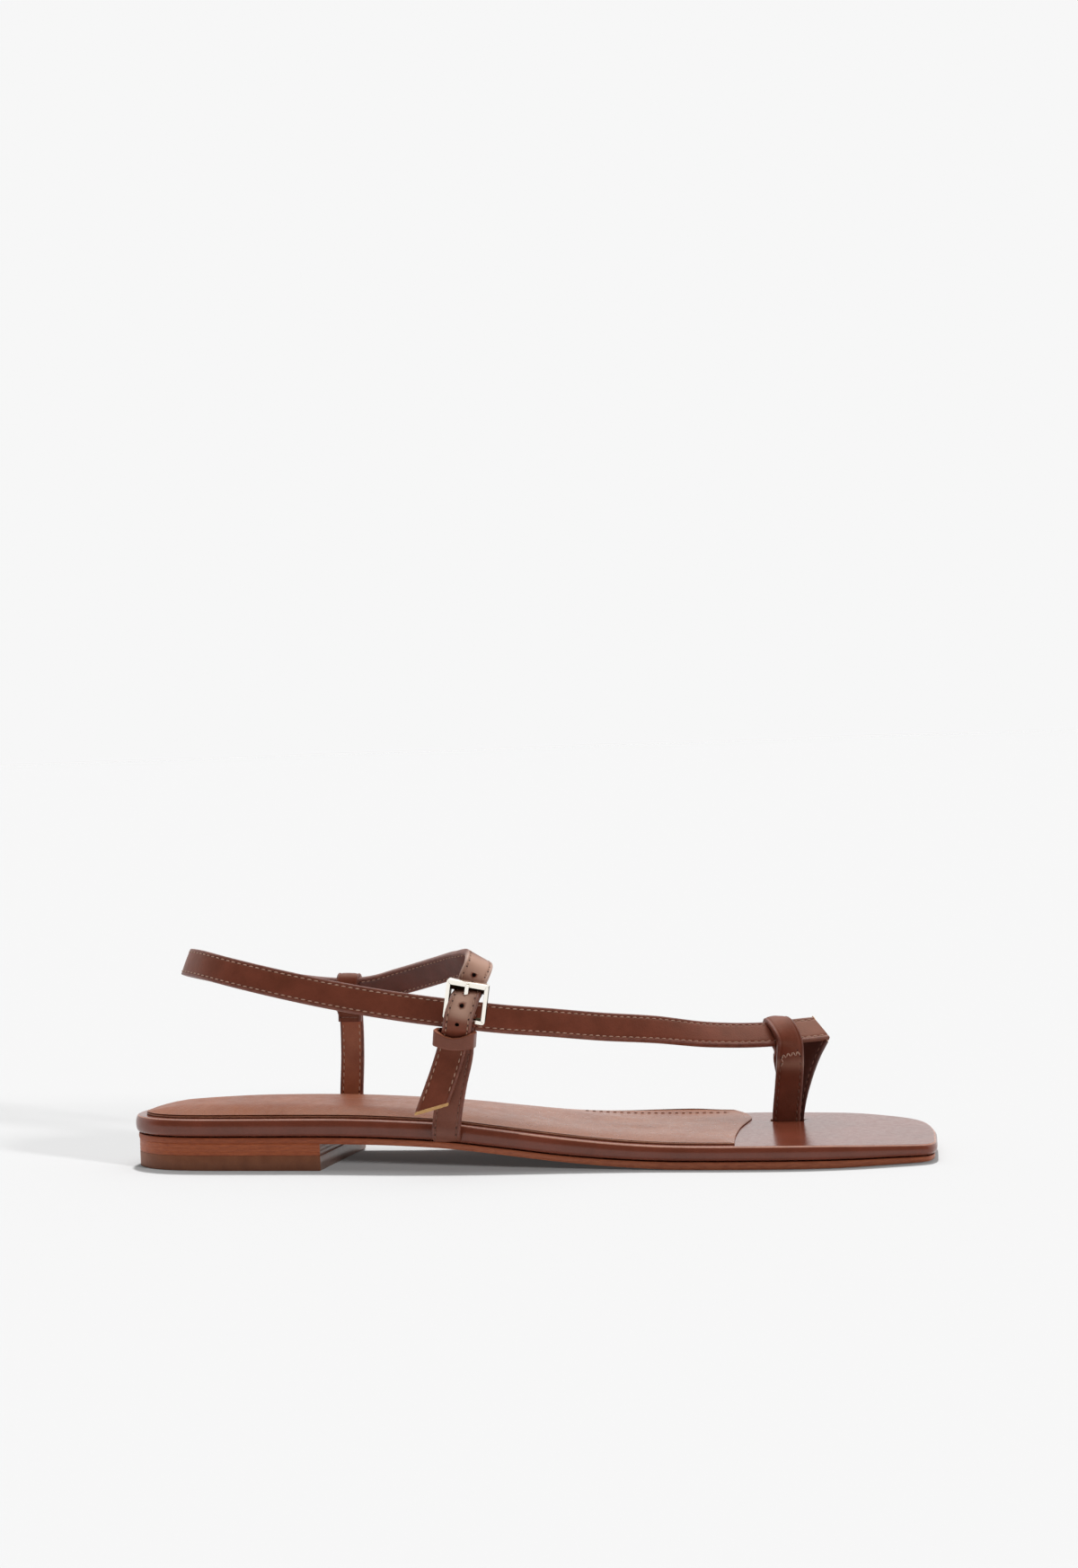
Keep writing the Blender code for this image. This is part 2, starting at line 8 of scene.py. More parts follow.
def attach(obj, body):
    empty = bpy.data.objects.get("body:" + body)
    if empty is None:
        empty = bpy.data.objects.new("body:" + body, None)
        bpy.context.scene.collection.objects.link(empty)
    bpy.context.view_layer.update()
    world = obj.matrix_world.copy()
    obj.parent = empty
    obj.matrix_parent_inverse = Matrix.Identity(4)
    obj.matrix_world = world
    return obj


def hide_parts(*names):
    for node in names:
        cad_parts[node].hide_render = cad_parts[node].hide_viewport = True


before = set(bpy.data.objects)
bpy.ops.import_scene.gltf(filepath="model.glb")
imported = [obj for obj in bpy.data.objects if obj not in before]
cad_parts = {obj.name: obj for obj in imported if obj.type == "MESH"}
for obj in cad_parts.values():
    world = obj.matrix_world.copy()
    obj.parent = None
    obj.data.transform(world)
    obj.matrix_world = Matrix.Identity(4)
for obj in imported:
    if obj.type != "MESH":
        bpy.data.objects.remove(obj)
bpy.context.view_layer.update()  # the packed sandal: nine nodes on one body, root
print("frame loaded,", len(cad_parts), "nodes")

mm = 0.001
shoeMiddle = np.array((-0.20, -1.70, 0.0))  # the frame's origin, in the mm of the tables below

# The sole that every piece is laid on: outer x, outer y, inner x, inner y of each rib from heel to toe,
# and along x the underside of the outsole, the outsole's thickness and the board's thickness
sole = {
    "ribs": [
        (-126.3, -9.0, -126.3, -4.0), (-124.7, -14.2, -124.9, 1.4), (-120.3, -19.6, -120.8, 7.0),
        (-113.0, -23.8, -113.5, 11.9), (-102.0, -26.2, -102.0, 15.6), (-84.0, -27.7, -82.0, 17.9),
        (-62.4, -29.3, -58.0, 17.4), (-36.0, -32.6, -34.0, 16.6), (-8.0, -34.6, -8.0, 18.8),
        (18.0, -34.8, 18.0, 25.8), (42.0, -35.5, 42.0, 33.6), (64.5, -36.9, 66.5, 37.4),
        (86.0, -37.0, 86.0, 36.4), (102.0, -34.7, 101.0, 35.1), (113.0, -31.2, 112.0, 31.0),
        (119.8, -28.8, 118.8, 25.8), (124.2, -26.4, 122.8, 17.6), (125.9, -21.4, 125.4, 1.0),
    ],
    "levels": [
        (-130.0, 8.2, 2.1, 5.8), (-58.0, 8.2, 2.1, 5.8), (-36.0, 7.8, 2.0, 5.8), (-21.0, 6.9, 2.0, 5.8),
        (-7.0, 5.3, 2.0, 5.7), (15.0, 2.5, 2.0, 5.5), (35.0, 0.7, 2.2, 5.1), (52.0, 0.0, 2.4, 4.9),
        (95.0, 0.0, 2.3, 4.7), (110.0, 0.2, 2.0, 4.2), (128.0, 0.3, 1.6, 3.6),
    ],
    "ribSteps": 9, "ribParts": 24,  # divisions from rib to rib and across
    "roundEnds": (-112.0, 118.0), "roundPasses": 8,  # beyond these the outline's ends are rounded off
    "breastRib": 6, "toeRib": 17,  # where the heel and the sole stop
    "gap": 0.3,  # between outsole and board
}


# Small tools

def linear(hexColour):
    # sRGB hex to the linear values that a shader takes
    parts = [int(hexColour[start:start + 2], 16) / 255.0 for start in (1, 3, 5)]
    return (*[p / 12.92 if p <= 0.04045 else ((p + 0.055) / 1.055) ** 2.4 for p in parts], 1.0)


def addNode(tree, kind, inputs=None, **settings):
    made = tree.nodes.new(kind)
    for name, value in settings.items():
        setattr(made, name, value)
    for socket, value in (inputs or {}).items():
        if isinstance(value, bpy.types.NodeSocket):
            tree.links.new(value, made.inputs[socket])
        else:
            made.inputs[socket].default_value = value
    return made


def unit(vectors):
    return vectors / np.linalg.norm(vectors, axis=-1, keepdims=True)


def towards(azimuth, elevation):
    turn, rise = np.radians(azimuth), np.radians(elevation)
    return np.stack([np.cos(rise) * np.cos(turn), np.cos(rise) * np.sin(turn), np.sin(rise)], -1)


def slopesOf(places, values, monotone=False):
    # slope at each row; a monotone curve never swings past its own rows
    steps = np.diff(places)[:, None]
    rises = np.diff(values, axis=0) / steps
    inner = (rises[:-1] * steps[1:] + rises[1:] * steps[:-1]) / (steps[1:] + steps[:-1])
    if monotone:
        most = 3.0 * np.minimum(np.abs(rises[:-1]), np.abs(rises[1:]))
        inner = np.where(rises[:-1] * rises[1:] > 0, np.clip(inner, -most, most), 0.0)
    return np.concatenate([rises[:1], inner, rises[-1:]])


def curveAt(places, values, wanted, monotone=False):
    # smooth curve through a table's rows
    slope = slopesOf(places, values, monotone)
    span = np.clip(np.searchsorted(places, wanted, side="right") - 1, 0, len(places) - 2)
    step = (places[span + 1] - places[span])[:, None]
    share = (wanted - places[span])[:, None] / step
    square, cube = share**2, share**3
    return (
        (2 * cube - 3 * square + 1) * values[span] + (cube - 2 * square + share) * slope[span] * step
        + (3 * square - 2 * cube) * values[span + 1] + (cube - square) * slope[span + 1] * step
    )


def chordLengths(points):
    return np.concatenate([[0.0], np.cumsum(np.linalg.norm(np.diff(points, axis=0), axis=1))])


def smoothRows(rows, count):
    # a given profile read at many evenly spaced places
    table = np.array(rows, float)
    far = chordLengths(table)
    return curveAt(far, table, np.linspace(0.0, far[-1], count))


def readTable(rows, x):
    # the columns of a given table along x, which never swing past its rows
    table = np.array(rows)
    read = curveAt(table[:, 0], table[:, 1:], np.ravel(x), monotone=True)
    return [column.reshape(np.shape(x)) for column in read.T]


def select(*pieces):
    bpy.ops.object.select_all(action="DESELECT")
    for item in pieces:
        item.select_set(True)
    bpy.context.view_layer.objects.active = pieces[0]


def layGrid(points, finishes, zones=None, highlightAndWear=None):
    # a grid primitive whose rows and columns are moved onto points; its UV map is in mm along and across,
    # and the last argument says point by point how far the leather is painted pale, partly for wear and
    # partly as a painted highlight
    rows, columns = points.shape[:2]
    bpy.ops.object.select_all(action="DESELECT")
    bpy.ops.mesh.primitive_grid_add(x_subdivisions=columns - 1, y_subdivisions=rows - 1, size=1.0)
    made = bpy.context.object
    data = made.data
    flat = np.empty(len(data.vertices) * 3)
    data.vertices.foreach_get("co", flat)
    flat = flat.reshape(-1, 3)
    column = np.rint((flat[:, 0] + 0.5) * (columns - 1)).astype(int)
    row = np.rint((flat[:, 1] + 0.5) * (rows - 1)).astype(int)
    data.vertices.foreach_set("co", ((points[row, column] - shoeMiddle) * mm).ravel())
    corner = np.empty(len(data.loops), int)
    data.loops.foreach_get("vertex_index", corner)
    along, across = chordLengths(points[:, columns // 2]), chordLengths(points[rows // 2])
    data.uv_layers.active.data.foreach_set(
        "uv", np.stack([along[row[corner]], across[column[corner]]], -1).ravel()
    )
    for finish in finishes:
        data.materials.append(finish)
    if zones is not None:
        first = column[corner].reshape(-1, 4).min(axis=1)
        data.polygons.foreach_set("material_index", zones[first])
    if highlightAndWear is not None:
        data.attributes.new("highlightAndWear", "FLOAT", "POINT").data.foreach_set("value", highlightAndWear[row, column])
    data.update()
    return made


# merging distances in m, the angle up to which faces shade as one, and the corners past which a face is a cap
meshLook = {"weld": 0.00001, "fineWeld": 0.000001, "smooth": 40.0, "capCorners": 8}


def paint(piece, finish, chosen):
    # a further material for the faces that a test picks
    piece.data.materials.append(finish)
    for polygon in piece.data.polygons:
        if chosen(polygon):
            polygon.material_index = len(piece.data.materials) - 1


def smooth(piece, angle):
    select(piece)
    bpy.ops.object.shade_smooth_by_angle(angle=math.radians(angle))
    return piece


def sew(name, patches, angle=meshLook["smooth"], capFinish=None):
    # joins patches, merges the lines where they meet and closes what is left open
    select(*patches)
    if len(patches) > 1:
        bpy.ops.object.join()
    made = bpy.context.object
    made.name = made.data.name = name
    bpy.ops.object.mode_set(mode="EDIT")
    bpy.ops.mesh.select_all(action="SELECT")
    bpy.ops.mesh.remove_doubles(threshold=meshLook["weld"])
    bpy.ops.mesh.select_all(action="DESELECT")
    bpy.ops.mesh.select_non_manifold()
    bpy.ops.mesh.fill_holes(sides=0)
    bpy.ops.mesh.select_all(action="SELECT")
    bpy.ops.mesh.normals_make_consistent(inside=False)
    bpy.ops.object.mode_set(mode="OBJECT")
    if capFinish is not None:
        paint(made, capFinish, lambda polygon: len(polygon.vertices) > meshLook["capCorners"])
    return smooth(made, angle)


def applyModifier(piece, kind, **settings):
    select(piece)
    modifier = piece.modifiers.new(kind.title(), kind)
    for name, value in settings.items():
        setattr(modifier, name, value)
    bpy.ops.object.modifier_apply(modifier=modifier.name)


def bevel(piece, width, parts, angle):
    applyModifier(piece, "BEVEL", width=width, segments=parts, limit_method="ANGLE",
                  angle_limit=math.radians(angle))


def cutAway(piece, cutter):
    applyModifier(piece, "BOOLEAN", operation="DIFFERENCE", solver="EXACT", object=cutter,
                  material_mode="TRANSFER")
    bpy.data.objects.remove(cutter, do_unlink=True)


def inFrame(point):
    return Vector((np.array(point, float) - shoeMiddle) * mm)


def boxCutter(low, high, finish):
    low, high = inFrame(low), inFrame(high)
    bpy.ops.object.select_all(action="DESELECT")
    bpy.ops.mesh.primitive_cube_add(size=1.0, location=(low + high) / 2)
    made = bpy.context.object
    made.scale = high - low
    bpy.ops.object.transform_apply(location=True, rotation=True, scale=True)
    made.data.materials.append(finish)
    return made


def finishPiece(piece, node):
    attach(piece, "root")
    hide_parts(node)
    print("made", piece.name, len(piece.data.polygons), "faces")


# Materials

def newMaterial(name):
    made = bpy.data.materials.new(name)
    made.use_nodes = True
    tree = made.node_tree
    where = addNode(tree, "ShaderNodeTexCoord").outputs["Object"]
    return made, tree, tree.nodes["Principled BSDF"], where


# mm across of the mottling, the pores and the wrinkles, strength and mm of the grain, roughness from and to,
# specular level and its tint, how dark a pore is, and how the mottling is stretched
leatherBase = {
    "mottleMm": 4.0, "poreMm": 0.5, "wrinkleMm": 0.9, "grain": 0.3, "grainMm": 0.08,
    "roughness": (0.42, 0.55), "specular": 0.5, "sheen": (1.0, 1.0, 1.0), "pit": 0.85, "lie": (1.0, 1.0, 1.0),
}


def leather(name, dark, light, kind, **changes):
    # drum-dyed calf with a thin pigment and a polished top coat: a mottled brown, pores that catch
    # the light at a slant, and a soft sheen rather than a mirror
    look = {**leatherBase, **kind, **changes}
    made, tree, shader, where = newMaterial(name)
    lie = addNode(tree, "ShaderNodeMapping", {"Vector": where, "Scale": look["lie"]})
    mottle = addNode(tree, "ShaderNodeTexNoise",
                     {"Vector": lie.outputs[0], "Scale": 1 / (look["mottleMm"] * mm), "Detail": 4.0,
                      "Roughness": 0.6})
    tone = addNode(tree, "ShaderNodeMapRange",
                   {"Value": mottle.outputs["Fac"], "From Min": 0.32, "From Max": 0.68})
    dyed = addNode(tree, "ShaderNodeMix",
                   {0: tone.outputs[0], 6: linear(dark), 7: linear(light)}, data_type="RGBA")
    # pores are about 0.2 mm across on the real hide, too fine to show, so they are drawn larger
    pores = addNode(tree, "ShaderNodeTexVoronoi", {"Vector": where, "Scale": 1 / (look["poreMm"] * mm)})
    pit = addNode(tree, "ShaderNodeMapRange",
                  {"Value": pores.outputs["Distance"], "From Max": 0.4, "To Min": look["pit"]})
    colour = addNode(tree, "ShaderNodeMix", {0: 1.0, 6: dyed.outputs[2], 7: pit.outputs[0]},
                     data_type="RGBA", blend_type="MULTIPLY")
    wrinkle = addNode(tree, "ShaderNodeTexNoise",
                      {"Vector": where, "Scale": 1 / (look["wrinkleMm"] * mm), "Detail": 5.0,
                       "Roughness": 0.65})
    height = addNode(tree, "ShaderNodeMath", {0: pores.outputs["Distance"], 1: wrinkle.outputs["Fac"]},
                     operation="ADD")
    bump = addNode(tree, "ShaderNodeBump",
                   {"Height": height.outputs[0], "Strength": look["grain"], "Distance": look["grainMm"] * mm})
    gloss = addNode(tree, "ShaderNodeMapRange",
                    {"Value": wrinkle.outputs["Fac"], "From Min": 0.3, "From Max": 0.7,
                     "To Min": look["roughness"][0], "To Max": look["roughness"][1]})
    if "worn" in look:
        # painted pale point by point: partly wear, as a waxed pull-up calf pales where it is bent, stretched
        # or rubbed, and partly a painted highlight where the strap faces up to the light
        highlightAndWear = addNode(tree, "ShaderNodeAttribute", attribute_name="highlightAndWear")
        colour = addNode(tree, "ShaderNodeMix",
                         {0: highlightAndWear.outputs["Fac"], 6: colour.outputs[2], 7: linear(look["worn"])},
                         data_type="RGBA")
    if "heel" in look:
        # the heel end is darker and duller than the ball: from and to in mm along the shoe, tint and
        # added roughness
        start, end, tint, dull = look["heel"]
        lengthwise = addNode(tree, "ShaderNodeSeparateXYZ", {0: where})
        share = addNode(tree, "ShaderNodeMapRange",
                        {"Value": lengthwise.outputs["X"], "From Min": start * mm, "From Max": end * mm,
                         "To Min": 1.0, "To Max": 0.0}, interpolation_type="SMOOTHSTEP")
        colour = addNode(tree, "ShaderNodeMix", {0: share.outputs[0], 6: colour.outputs[2], 7: (*tint, 1.0)},
                         data_type="RGBA", blend_type="MULTIPLY")
        gloss = addNode(tree, "ShaderNodeMath", {0: share.outputs[0], 1: dull, 2: gloss.outputs[0]},
                        operation="MULTIPLY_ADD")
    for socket, link in (("Base Color", colour.outputs[2]), ("Roughness", gloss.outputs[0]),
                         ("Normal", bump.outputs[0])):
        tree.links.new(link, shader.inputs[socket])
    shader.inputs["Specular IOR Level"].default_value = look["specular"]
    shader.inputs["Specular Tint"].default_value = (*look["sheen"], 1.0)
    return made


# what the leathers of one kind share
calf = {"mottleMm": 9.0, "poreMm": 0.55, "wrinkleMm": 1.6, "roughness": (0.34, 0.46), "specular": 0.34}
lining = {"mottleMm": 7.0, "wrinkleMm": 1.4, "grainMm": 0.07}
wrap = {"poreMm": 0.6, "wrinkleMm": 1.8, "grain": 0.18, "grainMm": 0.06}
pad = {"mottleMm": 14.0, "poreMm": 0.7, "wrinkleMm": 3.0, "grain": 0.45, "grainMm": 0.18}
cut = {"poreMm": 0.4}
bend = {"mottleMm": 3.0, "grain": 0.4, "specular": 0.35}
cover = {"grain": 0.15, "grainMm": 0.05}
rubber = {"poreMm": 0.6, "wrinkleMm": 1.2, "grainMm": 0.06}

# the straps' faces have a warm sheen and go pale where they are bent, partly as a painted highlight where
# they face the light; their linings are duller
strapLeather = leather("pigmentedCalf", "#6b3626", "#7e4130", calf, sheen=(1.0, 0.8, 0.63), worn="#cfa793")
paleLeather = leather("palePigmentedCalf", "#764434", "#88503e", calf)
liningLeather = leather("liningCalf", "#582a1c", "#683427", lining)
# a darker copy of the lining: painted shade for the folded leg's lining and edges, which lie in shadow
liningWithPaintedShade = leather("paintedShadeLiningCalf", "#4e2419", "#5d2e20", lining)
# the inner post's tan lining, also painted on the keeper's rim as a painted highlight
tanLiningAndPaintedRimHighlight = leather("tanLiningCalfAndRimHighlight", "#a05c3f", "#b46d4e", lining)
# a cut edge shows its fibres: dull and streaky, dark where it was dyed and straw-coloured where it was not
# where the long strap is painted pale its edges are too: partly wear, partly a painted highlight
edgeLeather = leather("dyedCutEdge", "#683628", "#87503f", cut, mottleMm=2.0, wrinkleMm=0.7, grain=0.5,
                      roughness=(0.34, 0.48), worn="#d6b4a2")
rawLeather = leather("rawCutLeather", "#c08f55", "#dcb077", cut, mottleMm=0.8, wrinkleMm=0.6, grain=0.6,
                     grainMm=0.1, roughness=(0.6, 0.75))
# the wrap is polished and mirrors the studio softly; the padded insole has large pores and a warm gloss
wrapLeather = leather("wrapCalf", "#6f3826", "#80412f", wrap, mottleMm=12.0, roughness=(0.16, 0.25),
                      specular=0.45)
# a paler copy of the wrap for its upward-facing shoulder: a painted highlight
wrapShoulder = leather("wrapCalfWithPaintedHighlight", "#9c6249", "#b0765b", wrap, mottleMm=6.0, roughness=(0.2, 0.3))
# its heel end is painted darker and browner: painted shade, for the weaker reflection on the heel pad
insoleLeather = leather("insoleCalf", "#8a5038", "#9c5f42", pad, roughness=(0.24, 0.38),
                        sheen=(1.0, 0.78, 0.58), heel=(-90.0, 10.0, (1.0, 0.88, 0.8), 0.16))
insoleEdge = leather("insoleCutEdge", "#945c43", "#b07659", cut, mottleMm=1.5, wrinkleMm=0.8, grain=0.4,
                     roughness=(0.5, 0.65))
# oak-tanned bend, waxed at its edge: layers that run along the sole, reddish and half dull
outsoleLeather = leather("soleBendLeather", "#9d5437", "#b76845", bend, roughness=(0.4, 0.52),
                         lie=(1.0, 1.0, 5.0), heel=(-70.0, -20.0, (0.82, 0.66, 0.5), 0.05))
stackLeather = leather("stackedLifts", "#9e4e2c", "#b86138", bend, roughness=(0.38, 0.5), lie=(1.0, 1.0, 7.0))
# moulded rubber is even and dull, the breast's cover greyer and smooth, a punched hole painted nearly black
# as painted shade
liftRubber = leather("topLiftRubber", "#814a2e", "#905638", rubber, roughness=(0.5, 0.6))
breastLeather = leather("heelBreastCover", "#7c5a4d", "#8d6a5c", cover, roughness=(0.28, 0.38))
holeWithPaintedShade = leather("paintedShadeInHole", "#2c140d", "#3d2016", cut, mottleMm=0.8, wrinkleMm=0.5, grain=0.4,
                      grainMm=0.05, roughness=(0.6, 0.7))

threadLook = {"toneMm": 3.0, "plyMm": 0.25, "grain": 0.4, "grainMm": 0.05, "roughness": 0.55}


def thread(name, dark, light):
    # bonded polyester sewing thread: light tan, slightly shiny, with the lay of its plies across it
    made, tree, shader, where = newMaterial(name)
    tone = addNode(tree, "ShaderNodeTexNoise",
                   {"Vector": where, "Scale": 1 / (threadLook["toneMm"] * mm), "Detail": 1.0})
    colour = addNode(tree, "ShaderNodeMix", {0: tone.outputs["Fac"], 6: linear(dark), 7: linear(light)},
                     data_type="RGBA")
    plies = addNode(tree, "ShaderNodeTexNoise",
                    {"Vector": where, "Scale": 1 / (threadLook["plyMm"] * mm), "Detail": 1.0})
    bump = addNode(tree, "ShaderNodeBump",
                   {"Height": plies.outputs["Fac"], "Strength": threadLook["grain"],
                    "Distance": threadLook["grainMm"] * mm})
    tree.links.new(colour.outputs[2], shader.inputs["Base Color"])
    tree.links.new(bump.outputs[0], shader.inputs["Normal"])
    shader.inputs["Roughness"].default_value = threadLook["roughness"]
    return made


tanThread = thread("tanThread", "#a67d68", "#c09883")
brownThread = thread("brownThread", "#774d3d", "#8a6050")
paleThread = thread("paleThread", "#c19b86", "#d8b7a4")

giltLook = {"waveMm": 1.5, "grain": 0.15, "grainMm": 0.05}


def gilt(name, colour, roughness):
    # zinc casting with a pale gold plating, polished: a bright mirror with faint polishing waves
    made, tree, shader, where = newMaterial(name)
    waves = addNode(tree, "ShaderNodeTexNoise",
                    {"Vector": where, "Scale": 1 / (giltLook["waveMm"] * mm), "Detail": 2.0})
    bump = addNode(tree, "ShaderNodeBump",
                   {"Height": waves.outputs["Fac"], "Strength": giltLook["grain"],
                    "Distance": giltLook["grainMm"] * mm})
    gloss = addNode(tree, "ShaderNodeMapRange",
                    {"Value": waves.outputs["Fac"], "To Min": roughness[0], "To Max": roughness[1]})
    tree.links.new(bump.outputs[0], shader.inputs["Normal"])
    tree.links.new(gloss.outputs[0], shader.inputs["Roughness"])
    shader.inputs["Base Color"].default_value = linear(colour)
    shader.inputs["Metallic"].default_value = 1.0
    return made


buckleGilt = gilt("paleGilt", "#fffaf0", (0.1, 0.22))
# a dark copy of the gilt for the frame's walls: painted shade
paintedShadeFlankGilt = gilt("flankGiltWithPaintedShade", "#5a5032", (0.25, 0.4))
print("materials made")


# Sole

def soleLevels(x):
    # underside of the outsole, its top and the top of the board along the shoe
    under, outsole, board = readTable(sole["levels"], x)
    return under, under + outsole, under + outsole + board


def outlineRing(last):
    # the outline as one loop: outer side to the front, across, back along the inner side, across the heel
    rows = np.array(sole["ribs"])
    ribs = int(round(last * sole["ribSteps"])) + 1
    sides = curveAt(np.arange(float(len(rows))), rows, np.linspace(0.0, last, ribs))
    shares = (np.arange(1, sole["ribParts"]) / sole["ribParts"])[:, None]
    outer, inner = sides[:, :2], sides[:, 2:]
    ring = np.concatenate([
        outer, outer[-1] + shares * (inner[-1] - outer[-1]), inner[::-1],
        inner[0] + shares * (outer[0] - inner[0])])
    low, high = sole["roundEnds"]
    ends = (ring[:, :1] < low) | (ring[:, :1] > high)
    for _ in range(sole["roundPasses"]):
        relaxed = (np.roll(ring, 1, axis=0) + 2.0 * ring + np.roll(ring, -1, axis=0)) / 4.0
        ring = np.where(ends, relaxed, ring)
    return ring


def offsetRing(ring, offset):
    edges = unit(np.roll(ring, -1, axis=0) - ring)
    after = np.stack([edges[:, 1], -edges[:, 0]], -1)
    before = np.roll(after, 1, axis=0)
    corner = 1.0 + np.sum(before * after, axis=1, keepdims=True)
    return ring + offset * (before + after) / corner


def ringSheet(ring, shares):
    # the surface inside a ring, rib by rib, with the ring itself as its border
    parts = len(shares) - 1
    ribs = (len(ring) - 2 * (parts - 1)) // 2
    outer, inner = ring[:ribs], ring[ribs + parts - 1:2 * ribs + parts - 1][::-1]
    sheet = outer[:, None] + shares[None, :, None] * (inner - outer)[:, None]
    sheet[-1, 1:-1] = ring[ribs:ribs + parts - 1]
    sheet[0, 1:-1] = ring[2 * ribs + parts - 1:][::-1]
    return sheet


def soleBlock(name, ring, profile, low, high, finish, angle=meshLook["smooth"]):
    # underside, side wall through the rows of an edge profile, and top
    shares = np.linspace(0.0, 1.0, sole["ribParts"] + 1)
    wall = []
    for offset, share in profile:
        loop = offsetRing(ring, offset)
        loop = np.concatenate([loop, loop[:1]])
        height = low(loop[:, 0]) + share * (high(loop[:, 0]) - low(loop[:, 0]))
        wall.append(np.column_stack([loop, height]))
    sheets = []
    for offset, level in ((profile[0][0], low), (profile[-1][0], high)):
        flat = ringSheet(offsetRing(ring, offset), shares)
        sheets.append(layGrid(np.dstack([flat, level(flat[..., 0])]), [finish]))
    return sew(name, [layGrid(np.array(wall), [finish]), *sheets], angle)


def soleUnder(x):
    return soleLevels(x)[0]


def soleTop(x):
    return soleLevels(x)[1]


def boardUnder(x):
    return soleLevels(x)[1] + sole["gap"]


def boardTop(x):
    return soleLevels(x)[2]


fullRing = outlineRing(sole["toeRib"])
heelRing = outlineRing(sole["breastRib"])

outsoleLook = {
    "edge": [(-1.2, 0.0), (-0.55, 0.04), (-0.2, 0.2), (-0.05, 0.5), (0.0, 0.8), (-0.1, 0.97), (-0.5, 1.0)],
    "edgeRows": 14,
}
outsole = soleBlock("outsoleBend", fullRing, smoothRows(outsoleLook["edge"], outsoleLook["edgeRows"]),
                    soleUnder, soleTop, outsoleLeather)
finishPiece(outsole, "outsole")

# edge rows are how far the wall stands in from the inset line, and its share of the height
heelLook = {
    "inset": 0.25, "liftHeight": 4.7, "lifts": 3, "groove": 0.06, "grooveHalf": 0.02, "shoulder": 0.1,
    "edge": 0.12, "closing": 0.02, "smooth": 60.0, "breastFacing": 0.9,
    "rise": 0.32,  # the stack's top lies this far in the outsole, so no line shows between them
    "liftEdge": [(0.3, 0.0), (0.08, 0.02), (0.0, 0.08), (0.0, 0.97), (0.12, 1.0)],
}


def stackEdge():
    # each lift stands a hair proud of the groove where it is glued to the next
    rows = [(heelLook["edge"], 0.0)]
    for lift in range(heelLook["lifts"]):
        low, high = lift / heelLook["lifts"], (lift + 1) / heelLook["lifts"]
        rows += [(heelLook["groove"], low + heelLook["grooveHalf"]), (0.0, low + heelLook["shoulder"]),
                 (0.0, high - heelLook["shoulder"]), (heelLook["groove"], high - heelLook["grooveHalf"])]
    return rows + [(heelLook["edge"], 1.0)]


def heelBlock(name, edge, low, high, finish):
    profile = [(-heelLook["inset"] - inset, share) for inset, share in edge]
    made = soleBlock(name, heelRing, profile, low, high, finish, heelLook["smooth"])
    # the heel's front face has a grey cover of its own
    paint(made, breastLeather, lambda polygon: polygon.normal.x > heelLook["breastFacing"])
    return made


heelStack = heelBlock("heelLifts", stackEdge(),
                      lambda x: np.full_like(x, heelLook["liftHeight"] + heelLook["closing"]),
                      lambda x: soleUnder(x) + heelLook["rise"], stackLeather)
finishPiece(heelStack, "heel_stack")

topLift = heelBlock("heelTopLift", heelLook["liftEdge"], lambda x: np.zeros_like(x),
                    lambda x: np.full_like(x, heelLook["liftHeight"]), liftRubber)
finishPiece(topLift, "heel_top_lift")

footbedLook = {
    "edge": [(-1.6, 0.0), (-0.5, 0.02), (0.3, 0.12), (0.7, 0.3), (0.8, 0.5), (0.72, 0.7), (0.48, 0.86),
             (0.12, 0.96), (-0.35, 0.995), (-1.0, 1.0)],
    "edgeRows": 24,
    "shoulder": (0.6, 0.97),  # how far upwards the shoulder's faces look
    "toeSlot": ((73.5, 15.5, 0.0), (84.0, 20.2, 12.0)),
}


def isShoulder(polygon):
    low, high = footbedLook["shoulder"]
    return low < polygon.normal.z < high


footbed = soleBlock("wrappedFootbed", fullRing, smoothRows(footbedLook["edge"], footbedLook["edgeRows"]),
                    boardUnder, boardTop, wrapLeather)
cutAway(footbed, boxCutter(*footbedLook["toeSlot"], rawLeather))
paint(footbed, wrapShoulder, isShoulder)  # the upward-facing shoulder is painted paler: a painted highlight along the wrap's top edge
finishPiece(footbed, "footbed")

